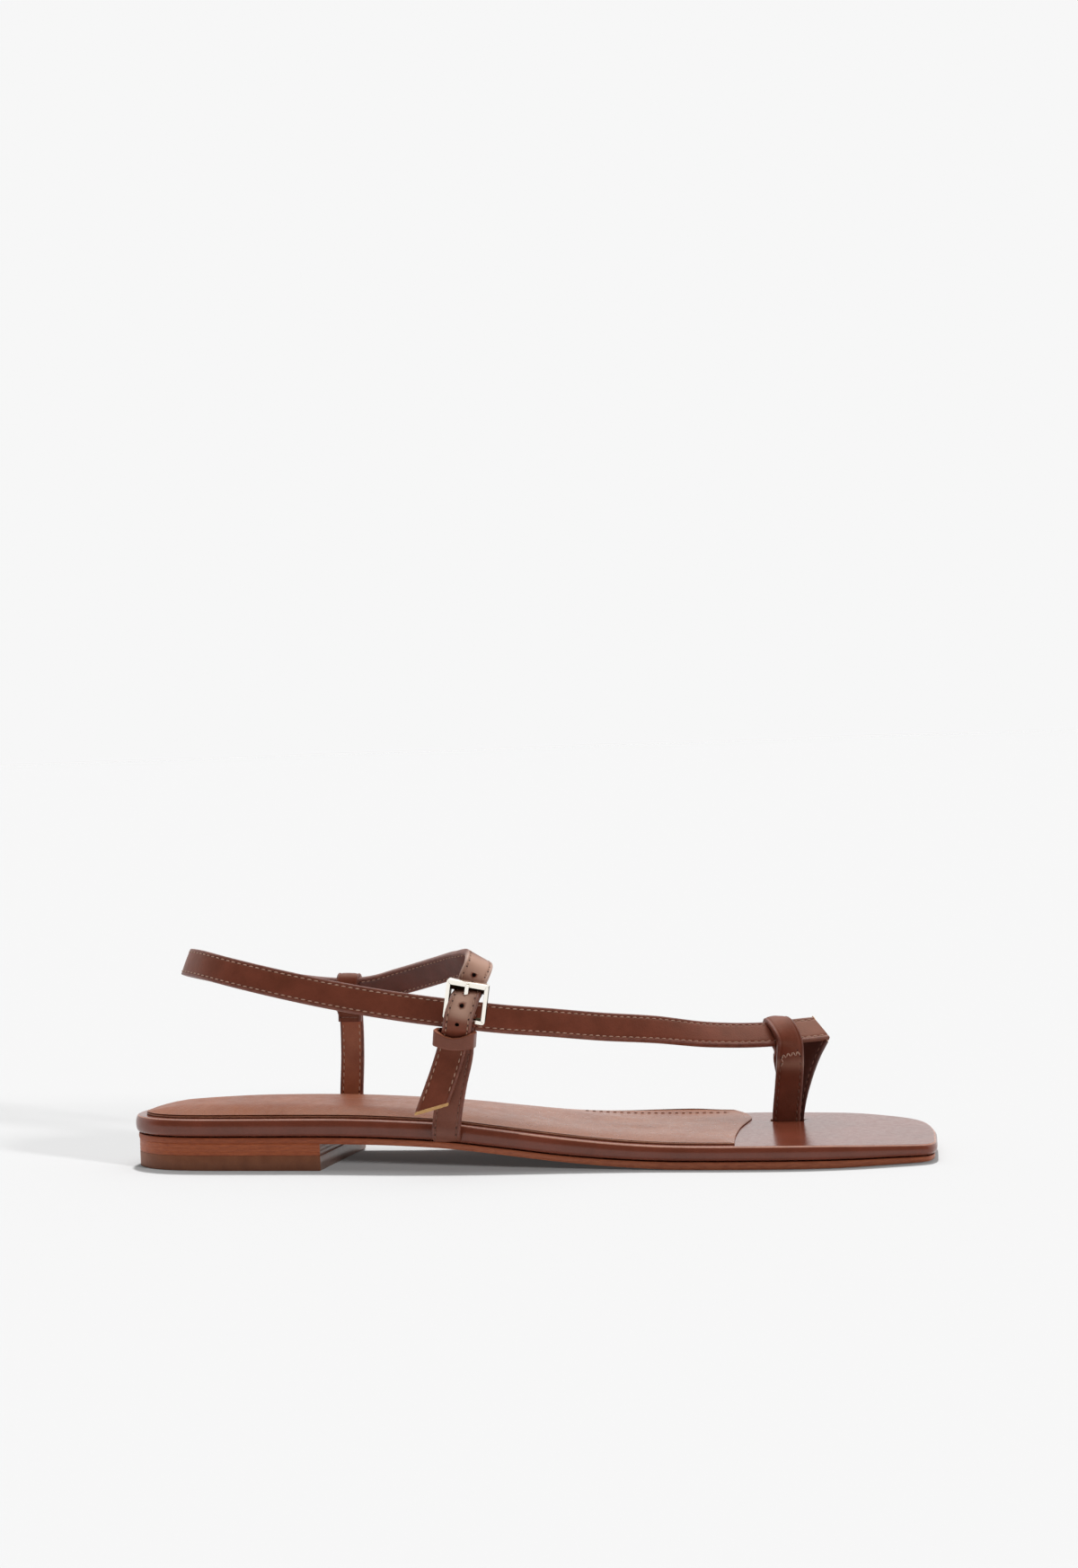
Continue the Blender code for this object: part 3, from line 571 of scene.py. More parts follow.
# The padded insole: front edge as the rib it reaches at each share across, pad rise in mm along x
insoleLook = {
    "inset": 2.8, "thickness": 0.55, "rows": 190, "smooth": 50.0,
    "front": [(0.0, 11.08), (0.25, 11.01), (0.5, 10.99), (0.66, 11.02), (0.8, 11.05), (0.9, 10.98),
              (0.97, 10.85), (1.0, 10.73)],
    "rise": [(-125.0, 2.1), (-88.0, 2.8), (-40.0, 2.0), (0.0, 1.25), (40.0, 0.8), (75.0, 0.45)],
    "slope": 9.0, "heelSlope": 15.0, "innerSlope": 16.0,  # width of the pad's sloping border, by side
    "edge": [(-0.15, 0.0), (-0.03, 0.12), (0.0, 0.4), (-0.05, 0.7), (-0.2, 0.88), (-0.45, 0.97), (-0.8, 1.0)],
    "edgeRows": 12, "edgeSplit": 5,
    "waist": (-60.0, -20.0),  # the inner side's slope widens from the first of these to the second
    "gap": 0.08,
    # the inner edge's lip, curled up: x and rise; then its width and how sharply it curls
    "lip": [(-40.0, 0.0), (4.0, 0.0), (15.0, 0.2), (26.0, 0.75), (37.0, 1.32), (47.0, 1.55), (57.0, 1.0),
            (64.0, 0.7), (70.0, 0.15)],
    "lipWide": 7.5, "lipCurl": 1.3,
    # creases from the foot: middle x and y, turn in degrees, half length, half width, height
    "creases": [
        (28.0, 6.0, 6.0, 12.0, 2.6, 0.26), (38.0, -4.0, 10.0, 13.0, 2.8, 0.3),
        (44.0, 8.0, 4.0, 11.0, 2.6, -0.24), (30.0, -12.0, 8.0, 14.0, 3.0, -0.26),
        (52.0, -10.0, 12.0, 10.0, 2.8, 0.26), (20.0, -3.0, 4.0, 13.0, 3.4, -0.2),
        (55.0, 14.0, -8.0, 9.0, 2.8, 0.26), (47.0, -20.0, 9.0, 12.0, 3.4, 0.24),
        (14.0, 10.0, 3.0, 16.0, 3.4, 0.22), (-30.0, -8.0, 3.0, 22.0, 4.0, 0.16),
        (-60.0, 4.0, -4.0, 20.0, 4.4, -0.14), (-10.0, -18.0, 5.0, 18.0, 3.6, 0.16),
    ],
    # its stitches: distance from the edge, x of the first, rows of the sheet left out at each end
    "stitchIn": 6.5, "stitchFrom": 8.0, "stitchSkip": 4,
}


def insoleSheet():
    ring = offsetRing(fullRing, -insoleLook["inset"])
    ribs = sole["toeRib"] * sole["ribSteps"] + 1
    parts = sole["ribParts"]
    outer, inner = ring[:ribs], ring[ribs + parts - 1:2 * ribs + parts - 1][::-1]
    shares = (1.0 - np.cos(np.linspace(0.0, math.pi, parts + 1))) / 2.0
    last = readTable(insoleLook["front"], shares)[0]
    wanted = np.linspace(0.0, 1.0, insoleLook["rows"])[:, None] * last[None, :] * sole["ribSteps"]
    index = np.arange(ribs)
    edge = [np.stack([np.interp(wanted, index, side[:, axis]) for axis in (0, 1)], -1)
            for side in (outer, inner)]
    sheet = edge[0] + shares[None, :, None] * (edge[1] - edge[0])
    sheet[0, 1:-1] = ring[2 * ribs + parts - 1:][::-1]
    return sheet


def borderOf(sheet):
    return np.concatenate([sheet[:, 0], sheet[-1, 1:-1], sheet[::-1, -1], sheet[0, -2:0:-1]])


def sheetWithBorder(sheet, border):
    rows, columns = sheet.shape[:2]
    made = sheet.copy()
    made[:, 0] = border[:rows]
    made[-1, 1:-1] = border[rows:rows + columns - 2]
    made[:, -1] = border[rows + columns - 2:2 * rows + columns - 2][::-1]
    made[0, 1:-1] = border[2 * rows + columns - 2:][::-1]
    return made


def insoleTop(flat):
    # pad height over the board: a sloping border all round, a crown at the heel, the inner edge curled up
    x, y = flat[..., 0], flat[..., 1]
    swell = readTable(insoleLook["rise"], x)[0]
    fromInner = np.linalg.norm(flat - flat[:, -1:], axis=-1)
    widening = (1.0, insoleLook["slope"] / insoleLook["innerSlope"])
    fromSide = np.minimum(np.linalg.norm(flat - flat[:, :1], axis=-1),
                          fromInner * np.interp(x, insoleLook["waist"], widening))
    fromHeel = (x - x.min()) * insoleLook["slope"] / insoleLook["heelSlope"]
    fromEnd = np.minimum(fromHeel, flat[-1:, :, 0] - x)
    away = np.clip(np.minimum(fromSide, fromEnd) / insoleLook["slope"], 0.0, 1.0)
    lift = 1.0 - (1.0 - away) ** 2
    lipRise = readTable(insoleLook["lip"], x)[0]
    folds = np.zeros_like(x)
    for middleX, middleY, turn, long, wide, height in insoleLook["creases"]:
        cos, sin = math.cos(math.radians(turn)), math.sin(math.radians(turn))
        along = (cos * (x - middleX) + sin * (y - middleY)) / long
        across = (cos * (y - middleY) - sin * (x - middleX)) / wide
        folds += height * np.exp(-along**2 - across**2)
    nearLip = np.clip(1.0 - fromInner / insoleLook["lipWide"], 0.0, 1.0)
    return (swell + folds) * lift + lipRise * nearLip ** insoleLook["lipCurl"]


def makeInsole():
    flat = insoleSheet()
    border = borderOf(flat)
    base = boardTop(border[:, 0]) + insoleLook["gap"]
    profile = smoothRows(insoleLook["edge"], insoleLook["edgeRows"])
    topFlat = sheetWithBorder(flat, offsetRing(border, profile[-1][0]))
    padLift = insoleTop(topFlat)
    borderLift = borderOf(padLift[..., None])[:, 0]
    wall = []
    for offset, share in profile:
        height = base + share * insoleLook["thickness"] + borderLift
        loop = np.column_stack([offsetRing(border, offset), height])
        wall.append(np.concatenate([loop, loop[:1]]))
    wall = np.array(wall)
    topLevel = boardTop(topFlat[..., 0]) + insoleLook["gap"] + insoleLook["thickness"] + padLift
    top = sheetWithBorder(np.dstack([topFlat, topLevel]), wall[-1][:-1])
    underFlat = sheetWithBorder(flat, wall[0][:-1, :2])
    under = np.dstack([underFlat, boardTop(underFlat[..., 0]) + insoleLook["gap"]])
    under = sheetWithBorder(under, wall[0][:-1])
    split = insoleLook["edgeSplit"]
    patches = [layGrid(wall[:split + 1], [insoleEdge]), layGrid(wall[split:], [insoleLeather]),
               layGrid(under, [insoleEdge]), layGrid(top, [insoleLeather])]
    return sew("paddedInsole", patches, insoleLook["smooth"]), top


insole, insoleGrid = makeInsole()
finishPiece(insole, "insole")
print("sole made")


# Straps: x, y, z, azimuth and elevation of the finished face, and the slant of the cut where it has one

strapLook = {
    "width": 8.8, "thickness": 2.0, "postThickness": 1.8, "innerPostWidth": 7.6,
    "edgeRadius": 0.5, "edgeParts": 4, "stitchIn": 1.15, "stitchDip": 0.13, "dipWidth": 0.3, "crown": 0.05,
    "step": 0.9, "postStep": 0.8,
    "fromEdge": (0.7, 0.85, 1.0, 1.15, 1.3, 1.45, 1.65, 2.2, 3.0),  # where the face is divided
}
longStrapRows = [
    (90.0, 23.5, 35.6, -63.0, 43.0, 0.34), (84.0, 20.5, 35.4, -63.0, 43.0),
    (77.0, 17.0, 35.0, -63.0, 43.0), (56.0, 6.5, 36.2, -61.0, 38.0),
    (40.0, -3.5, 39.2, -58.0, 26.0), (24.5, -13.0, 41.4, -58.0, 20.0),
    (9.3, -22.3, 44.0, -60.0, 18.0), (-4.0, -28.8, 46.0, -70.0, 15.0),
    (-16.2, -31.9, 47.9, -83.0, 12.0), (-33.6, -32.6, 50.5, -92.0, 15.0),
    (-56.5, -31.2, 54.6, -95.0, 17.0), (-79.7, -27.6, 59.5, -101.0, 18.0),
    (-92.2, -23.0, 62.1, -112.0, 19.0), (-102.0, -16.0, 63.8, -135.0, 20.0),
    (-108.8, -5.5, 63.6, -180.0, 21.0), (-103.3, 5.3, 60.6, -225.0, 20.0),
    (-93.5, 12.2, 57.0, -246.0, 18.0), (-79.0, 17.0, 53.0, -258.0, 16.0),
    (-62.3, 18.6, 51.2, -268.0, 14.0), (-54.0, 15.6, 52.0, -292.0, 20.0),
    (-42.0, 8.0, 55.2, -308.0, 26.0), (-27.0, -7.0, 59.7, -318.0, 30.0),
    (-17.2, -20.0, 62.8, -330.0, 40.0), (-10.6, -29.2, 64.3, -365.0, 58.0),
    (-10.2, -33.4, 62.4, -420.0, 38.0), (-11.5, -35.4, 59.0, -442.0, 34.0),
    (-12.4, -35.7, 56.8, -448.0, 40.0), (-12.8, -37.5, 55.0, -448.0, 58.0),
    (-13.1, -39.5, 54.3, -448.0, 55.0), (-13.7, -40.7, 52.4, -448.0, 20.0),
    (-15.3, -41.0, 48.2, -448.0, 4.0), (-16.0, -40.1, 45.6, -448.0, -20.0),
    (-16.9, -37.9, 42.8, -448.0, -22.0), (-17.7, -37.0, 40.4, -448.0, -4.0),
    (-18.6, -37.0, 37.6, -448.0, 2.0), (-20.6, -37.9, 31.5, -448.0, 4.0),
    (-24.7, -39.6, 20.6, -448.0, 6.0, 0.72),
]
returnLegRows = [
    (89.9, 24.0, 35.5, 66.0, -13.0, 0.6), (85.2, 22.0, 27.0, 72.0, -10.0, 0.1),
    (82.6, 20.6, 20.4, 78.0, -6.0), (80.7, 19.8, 14.0, 84.0, -3.0),
    (79.7, 18.9, 8.0, 90.0, 0.0), (79.4, 18.9, 3.4, 90.0, 0.0),
]
toePostRows = [
    (78.4, 16.8, 3.4, -88.0, 0.0), (78.6, 16.8, 8.0, -88.0, 0.0),
    (79.7, 16.6, 18.2, -82.0, 0.0), (80.2, 15.9, 22.8, -78.0, 4.0),
    (80.6, 14.7, 28.6, -72.0, 10.0),
]
outerPostRows = [
    (-21.4, -29.6, 10.0, -90.0, -90.0), (-21.4, -33.2, 10.0, -90.0, -85.0),
    (-21.3, -36.3, 11.8, -90.0, -25.0), (-20.8, -36.4, 16.5, -90.0, 2.0),
    (-18.9, -35.6, 27.0, -90.0, 3.0), (-16.6, -34.6, 37.5, -88.0, 3.0),
]
innerPostRows = [
    (-62.9, 12.8, 11.6, 90.0, -90.0), (-62.9, 16.8, 11.6, 90.0, -85.0),
    (-62.9, 19.5, 13.1, 90.0, -25.0), (-62.8, 19.7, 17.5, 90.0, 2.0),
    (-62.2, 20.2, 30.0, 90.0, 0.0), (-62.2, 20.6, 42.0, 91.0, 4.0),
]
toeLoopEnd = [(79.5, 17.4, 26.6, 92.0, 0.0), (80.1, 17.8, 22.4, 92.0, 0.0)]
innerLoopEnd = [(-62.3, 18.2, 44.6, -88.0, 6.0), (-62.3, 18.7, 41.4, -88.0, 2.0)]
# each loop: the long strap's row that it goes round, its shift towards the toe, its lean in mm for each mm
loopLook = {
    "toe": (2, 0.9, 0.23), "outer": (8, 0.0, 0.0), "inner": (18, 0.0, 0.08),
    "overlap": 0.05, "start": 0.95, "turn": 0.6, "toeBow": 0.9, "toeNarrow": 0.2, "bowReach": 5.0,
    "topRow": 2,  # the row of a loop that lies over the strap's top edge
}
# where the long strap is painted pale, partly wear where it is bent and partly a painted highlight where it
# faces up to the light: row of the table, reach in mm, amount, how far that fades to the edges
paleLook = [(0.3, 10.0, 0.15, 0.0), (24.0, 5.0, 0.7, 0.0), (29.2, 3.9, 0.85, 0.95)]
paleShape = (4, 3)  # how squarely such a place ends, along the strap and across it
rubLook = (22.6, 1.9, 0.3)  # the toe post's pale place: distance along it, reach and amount
# prong holes: the rows of the table that they lie at, width, the punch's length, their floor, sides
holeLook = {"rows": (24.75, 28.0, 29.25, 30.75), "wide": 1.3, "deep": 4.0, "floor": -0.4, "sides": 24}
tipSkive = 1.1  # how much further the lining runs at the free tip, so that the raw cut shows


def strapTable(rows):
    # a row with no slant is cut square
    return np.array([(*row, 0.0)[:6] for row in rows])


def rowDistances(rows):
    return chordLengths(strapTable(rows)[:, :3])


def strapLine(rows, step):
    # sections along a strap: distance, place, travel, finished face, and the way across with the cut's slant
    table = strapTable(rows)
    far = rowDistances(rows)
    wanted = np.linspace(0.0, far[-1], int(far[-1] / step) + 1)
    place = curveAt(far, table[:, :3], wanted)
    travel = unit(slopesOf(wanted, place))
    face = curveAt(far, towards(table[:, 3], table[:, 4]), wanted)
    face = unit(face - np.sum(face * travel, axis=1, keepdims=True) * travel)
    across = np.cross(travel, face)
    slant = np.interp(wanted, far, table[:, 5])
    return wanted, place, travel, face, across + slant[:, None] * travel


def loopRows(row, shift, lean):
    # a post's way round the long strap: up its face, over its top edge and down its back
    table = strapTable(longStrapRows)
    centre = table[row, :3]
    travel = unit(table[row + 1, :3] - table[row - 1, :3])
    face = towards(table[row, 3], table[row, 4])
    face = unit(face - np.dot(face, travel) * travel)
    up = np.cross(travel, face)
    up = up if up[2] > 0 else -up
    reach = strapLook["postThickness"] / 2.0 - loopLook["overlap"]
    out = strapLook["thickness"] / 2.0 + reach
    high = strapLook["width"] / 2.0
    way = [
        (-loopLook["start"] * high, out, face), (high - loopLook["turn"], out, face), (high + reach, 0.0, up),
        (high - loopLook["turn"], -out, -face), (0.0, -out, -face), (-high, -out, -face),
    ]
    rows = []
    for along, away, look in way:
        x, y, z = centre + along * up + away * face - (shift - lean * along) * travel
        rows.append((x, y, z, math.degrees(math.atan2(look[1], look[0])), math.degrees(math.asin(look[2]))))
    return rows


def strapSection(width, thickness):
    # round the strap from the middle of one edge: across, out, and whether it is edge, face, edge or lining
    half, deep, radius = width / 2.0, thickness / 2.0, strapLook["edgeRadius"]
    quarter = np.radians(np.linspace(0.0, 90.0, strapLook["edgeParts"] + 1))[1:]
    turn = np.column_stack([half - radius * (1.0 - np.cos(quarter)), deep - radius * (1.0 - np.sin(quarter))])
    fromEdge = np.array([*strapLook["fromEdge"], half])
    dip = strapLook["stitchDip"] * np.exp(-((fromEdge - strapLook["stitchIn"]) / strapLook["dipWidth"]) ** 2)
    face = np.column_stack([half - fromEdge, deep + strapLook["crown"] * (fromEdge / half) ** 2 - dip])
    rise = np.concatenate([[(half, 0.0)], turn, face])
    upper = np.concatenate([rise, (rise * (-1, 1))[-2::-1]])
    lining = (upper * (1, -1))[-2::-1]
    section = np.concatenate([upper, lining])
    edge, plain = [1] * (len(turn) + 1), 2 * len(face) - 2
    zones = np.array(edge + [0] * plain + 2 * edge + [2] * plain + edge)
    return section, zones


def makeStrap(name, rows, width, thickness, step, highlightAndWear=None, skive=0.0, finishes=None, bow=None):
    far, place, travel, face, across = strapLine(rows, step)
    section, zones = strapSection(width, thickness)
    points = (place[:, None] + section[None, :, :1] * across[:, None] + section[None, :, 1:] * face[:, None])
    points[-1] += skive * (0.5 - section[:, 1:] / thickness) * travel[-1]
    aside = 2.0 * section[:, 0] / width
    if bow is not None:
        swell, narrow = bow(far)
        points += (swell[:, None] * (0.5 - aside[None] ** 2))[..., None] * face[:, None]
        points -= narrow[:, None, None] * section[None, :, :1] * across[:, None]
    made = layGrid(points, finishes or [strapLeather, edgeLeather, liningLeather], zones[:len(section) - 1],
                   None if highlightAndWear is None else highlightAndWear(far, aside))
    return sew(name, [made], capFinish=rawLeather)


def farAtRow(row):
    far = rowDistances(longStrapRows)
    return np.interp(row, np.arange(len(far)), far)


def paleAlong(far, aside):
    # aside runs from -1 to 1 across the strap
    pale = np.zeros((len(far), len(aside)))
    endPower, sidePower = paleShape
    for row, reach, amount, fade in paleLook:
        near = np.exp(-(((far - farAtRow(row)) / reach) ** endPower))
        pale += amount * near[:, None] * (1.0 - fade * np.abs(aside[None]) ** sidePower)
    return np.minimum(1.0, pale)


def toeBow(far):
    # the toe loop's top is arched across and drawn narrower
    top = rowDistances(toeRows)[len(toePostRows) + loopLook["topRow"]]
    near = np.exp(-(((far - top) / loopLook["bowReach"]) ** 2))
    return loopLook["toeBow"] * near, loopLook["toeNarrow"] * near


def rubbedAlong(far, aside):
    place, reach, amount = rubLook
    return amount * np.exp(-(((far - place) / reach) ** 2))[:, None] * np.ones((1, len(aside)))


def punchHoles(strap):
    # prong holes, punched square to the leather down to the lining, which closes them; their walls and floor
    # are painted nearly black, painted shade
    far, place, _, face, _ = strapLine(longStrapRows, strapLook["step"])
    punches = []
    for row in holeLook["rows"]:
        spot = np.array([farAtRow(row)])
        out = curveAt(far, face, spot)[0]
        middle = curveAt(far, place, spot)[0] + out * (holeLook["floor"] + holeLook["deep"] / 2.0)
        bpy.ops.object.select_all(action="DESELECT")
        bpy.ops.mesh.primitive_cylinder_add(
            vertices=holeLook["sides"], radius=holeLook["wide"] / 2.0 * mm, depth=holeLook["deep"] * mm,
            location=inFrame(middle), rotation=Vector(out).to_track_quat("Z", "Y").to_euler())
        punches.append(bpy.context.object)
    select(*punches)
    bpy.ops.object.join()
    punch = bpy.context.object
    punch.data.materials.append(holeWithPaintedShade)
    cutAway(strap, punch)


width, innerWidth, post = strapLook["width"], strapLook["innerPostWidth"], strapLook["postThickness"]
toeRows = toePostRows + loopRows(*loopLook["toe"]) + toeLoopEnd
outerRows = outerPostRows + loopRows(*loopLook["outer"])
innerRows = innerPostRows + loopRows(*loopLook["inner"]) + innerLoopEnd
strapPieces = {
    "longStrap": makeStrap("longStrap", longStrapRows, width, strapLook["thickness"], strapLook["step"],
                           paleAlong, tipSkive),
    # the folded leg's edges and lining take the darker lining leather: painted shade
    "foldedLeg": makeStrap("foldedLeg", returnLegRows, width, post, strapLook["postStep"],
                           finishes=[strapLeather, liningWithPaintedShade, liningWithPaintedShade]),
    "toePost": makeStrap("toePost", toeRows, width, post, strapLook["postStep"], rubbedAlong, bow=toeBow),
    "outerPost": makeStrap("outerPost", outerRows, width, post, strapLook["postStep"],
                           finishes=[paleLeather, edgeLeather, liningLeather]),
    "innerPost": makeStrap("innerPost", innerRows, innerWidth, post, strapLook["postStep"],
                           finishes=[strapLeather, edgeLeather, tanLiningAndPaintedRimHighlight]),
}
punchHoles(strapPieces["longStrap"])
for strapPiece in strapPieces.values():
    finishPiece(strapPiece, "upper")
print("straps made")


# Buckle and keeper

buckleLook = {
    "width": 13.0, "height": 12.8, "bar": 1.15, "topBar": 0.4, "thick": 1.9, "corner": 0.9, "bevel": 0.16,
    "topSlope": 2.1, "sideSlope": 0.35, "lowSlope": 0.3,
    "centre": (-13.4, -37.7, 52.5), "lean": 11.0, "tipOut": 13.0,
    "barRoom": 1.1, "prongWide": 1.5, "prongThick": 1.1, "prongTurn": 260.0, "prongReach": 0.1,
    "wrapWide": 7.2, "wrapThick": 0.9, "wrapTurn": 300.0, "wrapStart": -50.0,
    "cornerParts": 6, "bevelParts": 3, "bevelAngle": 35.0, "facing": 0.9,
    "hookParts": 20, "hookBevel": 0.2, "hookAngle": 50.0, "hookSeam": 0.05,
    "prongTaper": (0.8, 1.0, 0.7),  # the prong's tip beside its root
}


def buckleMatrix():
    lean, tip = math.radians(buckleLook["lean"]), math.radians(buckleLook["tipOut"])
    across = Vector((math.cos(lean), 0.0, -math.sin(lean)))
    along = Vector((math.sin(lean) * math.cos(tip), -math.sin(tip), math.cos(lean) * math.cos(tip)))
    out = across.cross(along)
    turned = Matrix((across, along, out)).transposed().to_4x4()
    return Matrix.Translation(inFrame(buckleLook["centre"])) @ turned


def startMesh(name, finish):
    made = bpy.context.object
    made.name = made.data.name = name
    made.data.materials.append(finish)
    bpy.ops.object.mode_set(mode="EDIT")
    bpy.ops.mesh.select_all(action="SELECT")
    return made


def settle(made, matrix):
    # puts the finished mesh in its place and leaves the object at the origin
    bpy.ops.object.mode_set(mode="OBJECT")
    made.data.transform(matrix)
    return smooth(made, meshLook["smooth"])


def makeBuckleFrame():
    look = {key: value * mm for key, value in buckleLook.items() if isinstance(value, float)}
    bpy.ops.object.select_all(action="DESELECT")
    bpy.ops.mesh.primitive_plane_add(size=1.0)
    made = startMesh("buckleFrame", buckleGilt)
    bpy.ops.transform.resize(value=(look["width"], look["height"], 1.0))
    bpy.ops.mesh.bevel(offset=look["corner"], segments=buckleLook["cornerParts"], affect="VERTICES")
    bpy.ops.mesh.inset(thickness=look["bar"], depth=0.0)
    bpy.ops.mesh.delete(type="FACE")
    bpy.ops.object.mode_set(mode="OBJECT")
    insideX, insideY = ((look[side] - look["bar"]) / 2.0 for side in ("width", "height"))
    for vertex in made.data.vertices:
        vertex.select = 0.0 < vertex.co.y < insideY and abs(vertex.co.x) < insideX
    bpy.ops.object.mode_set(mode="EDIT")
    bpy.ops.transform.translate(value=(0.0, -look["topBar"], 0.0))  # the top bar is the widest
    bpy.ops.mesh.select_all(action="SELECT")
    bpy.ops.mesh.extrude_region_move(TRANSFORM_OT_translate={"value": (0.0, 0.0, look["thick"])})
    bpy.ops.mesh.select_all(action="SELECT")
    bpy.ops.transform.translate(value=(0.0, 0.0, -look["thick"] / 2.0))
    bpy.ops.mesh.normals_make_consistent(inside=False)
    bpy.ops.object.mode_set(mode="OBJECT")
    for vertex in made.data.vertices:
        x, y, z = vertex.co
        if z < 0.0 and abs(x) < insideX and abs(y) < insideY:  # the back of the opening is the smaller
            vertex.co.x -= math.copysign(look["sideSlope"], x)
            vertex.co.y -= look["topSlope"] if y > 0.0 else -look["lowSlope"]

    def isFlank(polygon):
        # the walls of the opening and the frame's two outer sides are painted dark: painted shade inside and
        # beside the frame
        inside = abs(polygon.center.x) < insideX and abs(polygon.center.y) < insideY
        sideways = abs(polygon.normal.x) > buckleLook["facing"]
        return abs(polygon.normal.z) < buckleLook["facing"] and (inside or sideways)

    paint(made, paintedShadeFlankGilt, isFlank)
    bevel(made, look["bevel"], buckleLook["bevelParts"], buckleLook["bevelAngle"])
    return settle(made, buckleMatrix())


def makeHook(name, finish, wide, thick, turn, start, reach):
    # a strip bent round the heel bar by a spin; with a reach it goes on straight over the top bar
    bar = (buckleLook["height"] - buckleLook["bar"]) / 2.0 * mm
    room = buckleLook["barRoom"] * mm
    bpy.ops.object.select_all(action="DESELECT")
    bpy.ops.mesh.primitive_plane_add(size=1.0)
    made = startMesh(name, finish)
    bpy.ops.transform.resize(value=(wide * mm, thick * mm, 1.0))
    bpy.ops.transform.rotate(value=math.radians(90.0), orient_axis="X", center_override=(0.0, 0.0, 0.0))
    bpy.ops.transform.translate(value=(0.0, -bar, room + thick * mm / 2.0))
    if reach > 0.0:
        ahead = (0.0, 2.0 * bar + reach * mm, 0.0)
        bpy.ops.mesh.extrude_region_move(TRANSFORM_OT_translate={"value": ahead})
        bpy.ops.transform.resize(value=buckleLook["prongTaper"])
        bpy.ops.mesh.select_all(action="DESELECT")
    bpy.ops.object.mode_set(mode="OBJECT")
    for polygon in made.data.polygons:
        onBar = abs(polygon.center.y + bar) < buckleLook["hookSeam"] * mm
        polygon.select = onBar and abs(polygon.normal.y) > buckleLook["facing"]
    bpy.ops.object.mode_set(mode="EDIT")
    bpy.ops.mesh.spin(steps=buckleLook["hookParts"], angle=math.radians(turn), center=(0.0, -bar, 0.0),
                      axis=(1.0, 0.0, 0.0))
    bpy.ops.mesh.select_all(action="SELECT")
    if start:
        bpy.ops.object.mode_set(mode="OBJECT")
        turned = Matrix.Rotation(math.radians(start), 4, "X") @ Matrix.Translation((0.0, bar, 0.0))
        made.data.transform(Matrix.Translation((0.0, -bar, 0.0)) @ turned)
        bpy.ops.object.mode_set(mode="EDIT")
    bpy.ops.mesh.remove_doubles(threshold=meshLook["fineWeld"])
    bpy.ops.mesh.normals_make_consistent(inside=False)
    bpy.ops.object.mode_set(mode="OBJECT")
    bevel(made, buckleLook["hookBevel"] * mm, buckleLook["bevelParts"], buckleLook["hookAngle"])
    return settle(made, buckleMatrix())


buckleFrame = makeBuckleFrame()
finishPiece(buckleFrame, "buckle_frame")
prong = makeHook("buckleProng", buckleGilt, buckleLook["prongWide"], buckleLook["prongThick"],
                 buckleLook["prongTurn"], 0.0, buckleLook["prongReach"])
finishPiece(prong, "buckle_prong")
barWrap = makeHook("barWrap", strapLeather, buckleLook["wrapWide"], buckleLook["wrapThick"],
                   buckleLook["wrapTurn"], buckleLook["wrapStart"], 0.0)
finishPiece(barWrap, "upper")

keeperLook = {
    "height": 5.0, "thickness": 1.3, "centre": (-17.7, -35.9, 41.1), "inside": (10.3, 6.0), "lean": 6.0,
    "rows": 8, "topSag": 2.0, "lowSag": 0.8, "sides": 96, "squareness": 6.0,
    "bevel": 0.45, "bevelParts": 4, "bevelAngle": 60.0, "rimFacing": 0.3,
}


def makeKeeper():
    # a circle drawn into a rounded rectangle, extruded to the band's height and given its thickness
    wide, deep = keeperLook["inside"]
    height = keeperLook["height"]
    bpy.ops.object.select_all(action="DESELECT")
    bpy.ops.mesh.primitive_circle_add(vertices=keeperLook["sides"], radius=1.0,
                                      location=(0.0, 0.0, -height / 2.0))
    made = startMesh("keeperLoop", paleLeather)
    oneRow = (0.0, 0.0, height / keeperLook["rows"])
    for _ in range(keeperLook["rows"]):
        bpy.ops.mesh.extrude_edges_move(TRANSFORM_OT_translate={"value": oneRow})
    bpy.ops.object.mode_set(mode="OBJECT")
    bpy.ops.object.transform_apply(location=True)
    power = 2.0 / keeperLook["squareness"]
    for vertex in made.data.vertices:
        x, y, z = vertex.co
        turn = math.atan2(y, x)
        squareX = math.copysign(abs(math.cos(turn)) ** power, math.cos(turn))
        squareY = math.copysign(abs(math.sin(turn)) ** power, math.sin(turn))
        front = max(0.0, -squareY) * (1.0 - squareX**2)
        share = z / height + 0.5
        sag = keeperLook["lowSag"] + share * (keeperLook["topSag"] - keeperLook["lowSag"])
        vertex.co = (squareX * wide / 2.0, squareY * deep / 2.0, z - sag * front)
    bpy.ops.object.mode_set(mode="EDIT")
    bpy.ops.mesh.select_all(action="SELECT")
    bpy.ops.mesh.normals_make_consistent(inside=False)
    bpy.ops.object.mode_set(mode="OBJECT")
    applyModifier(made, "SOLIDIFY", thickness=keeperLook["thickness"], offset=1.0, use_even_offset=True)
    bevel(made, keeperLook["bevel"], keeperLook["bevelParts"], keeperLook["bevelAngle"])
    # the upward-facing rim is painted in the tan lining leather: a painted highlight along the top edge
    paint(made, tanLiningAndPaintedRimHighlight, lambda polygon: polygon.normal.z > keeperLook["rimFacing"])
    turned = Matrix.Rotation(math.radians(keeperLook["lean"]), 4, "Y")
    return settle(made, Matrix.Translation(inFrame(keeperLook["centre"])) @ turned @ Matrix.Scale(mm, 4))


keeper = makeKeeper()
finishPiece(keeper, "keeper")
print("buckle and keeper made")


# Stitches

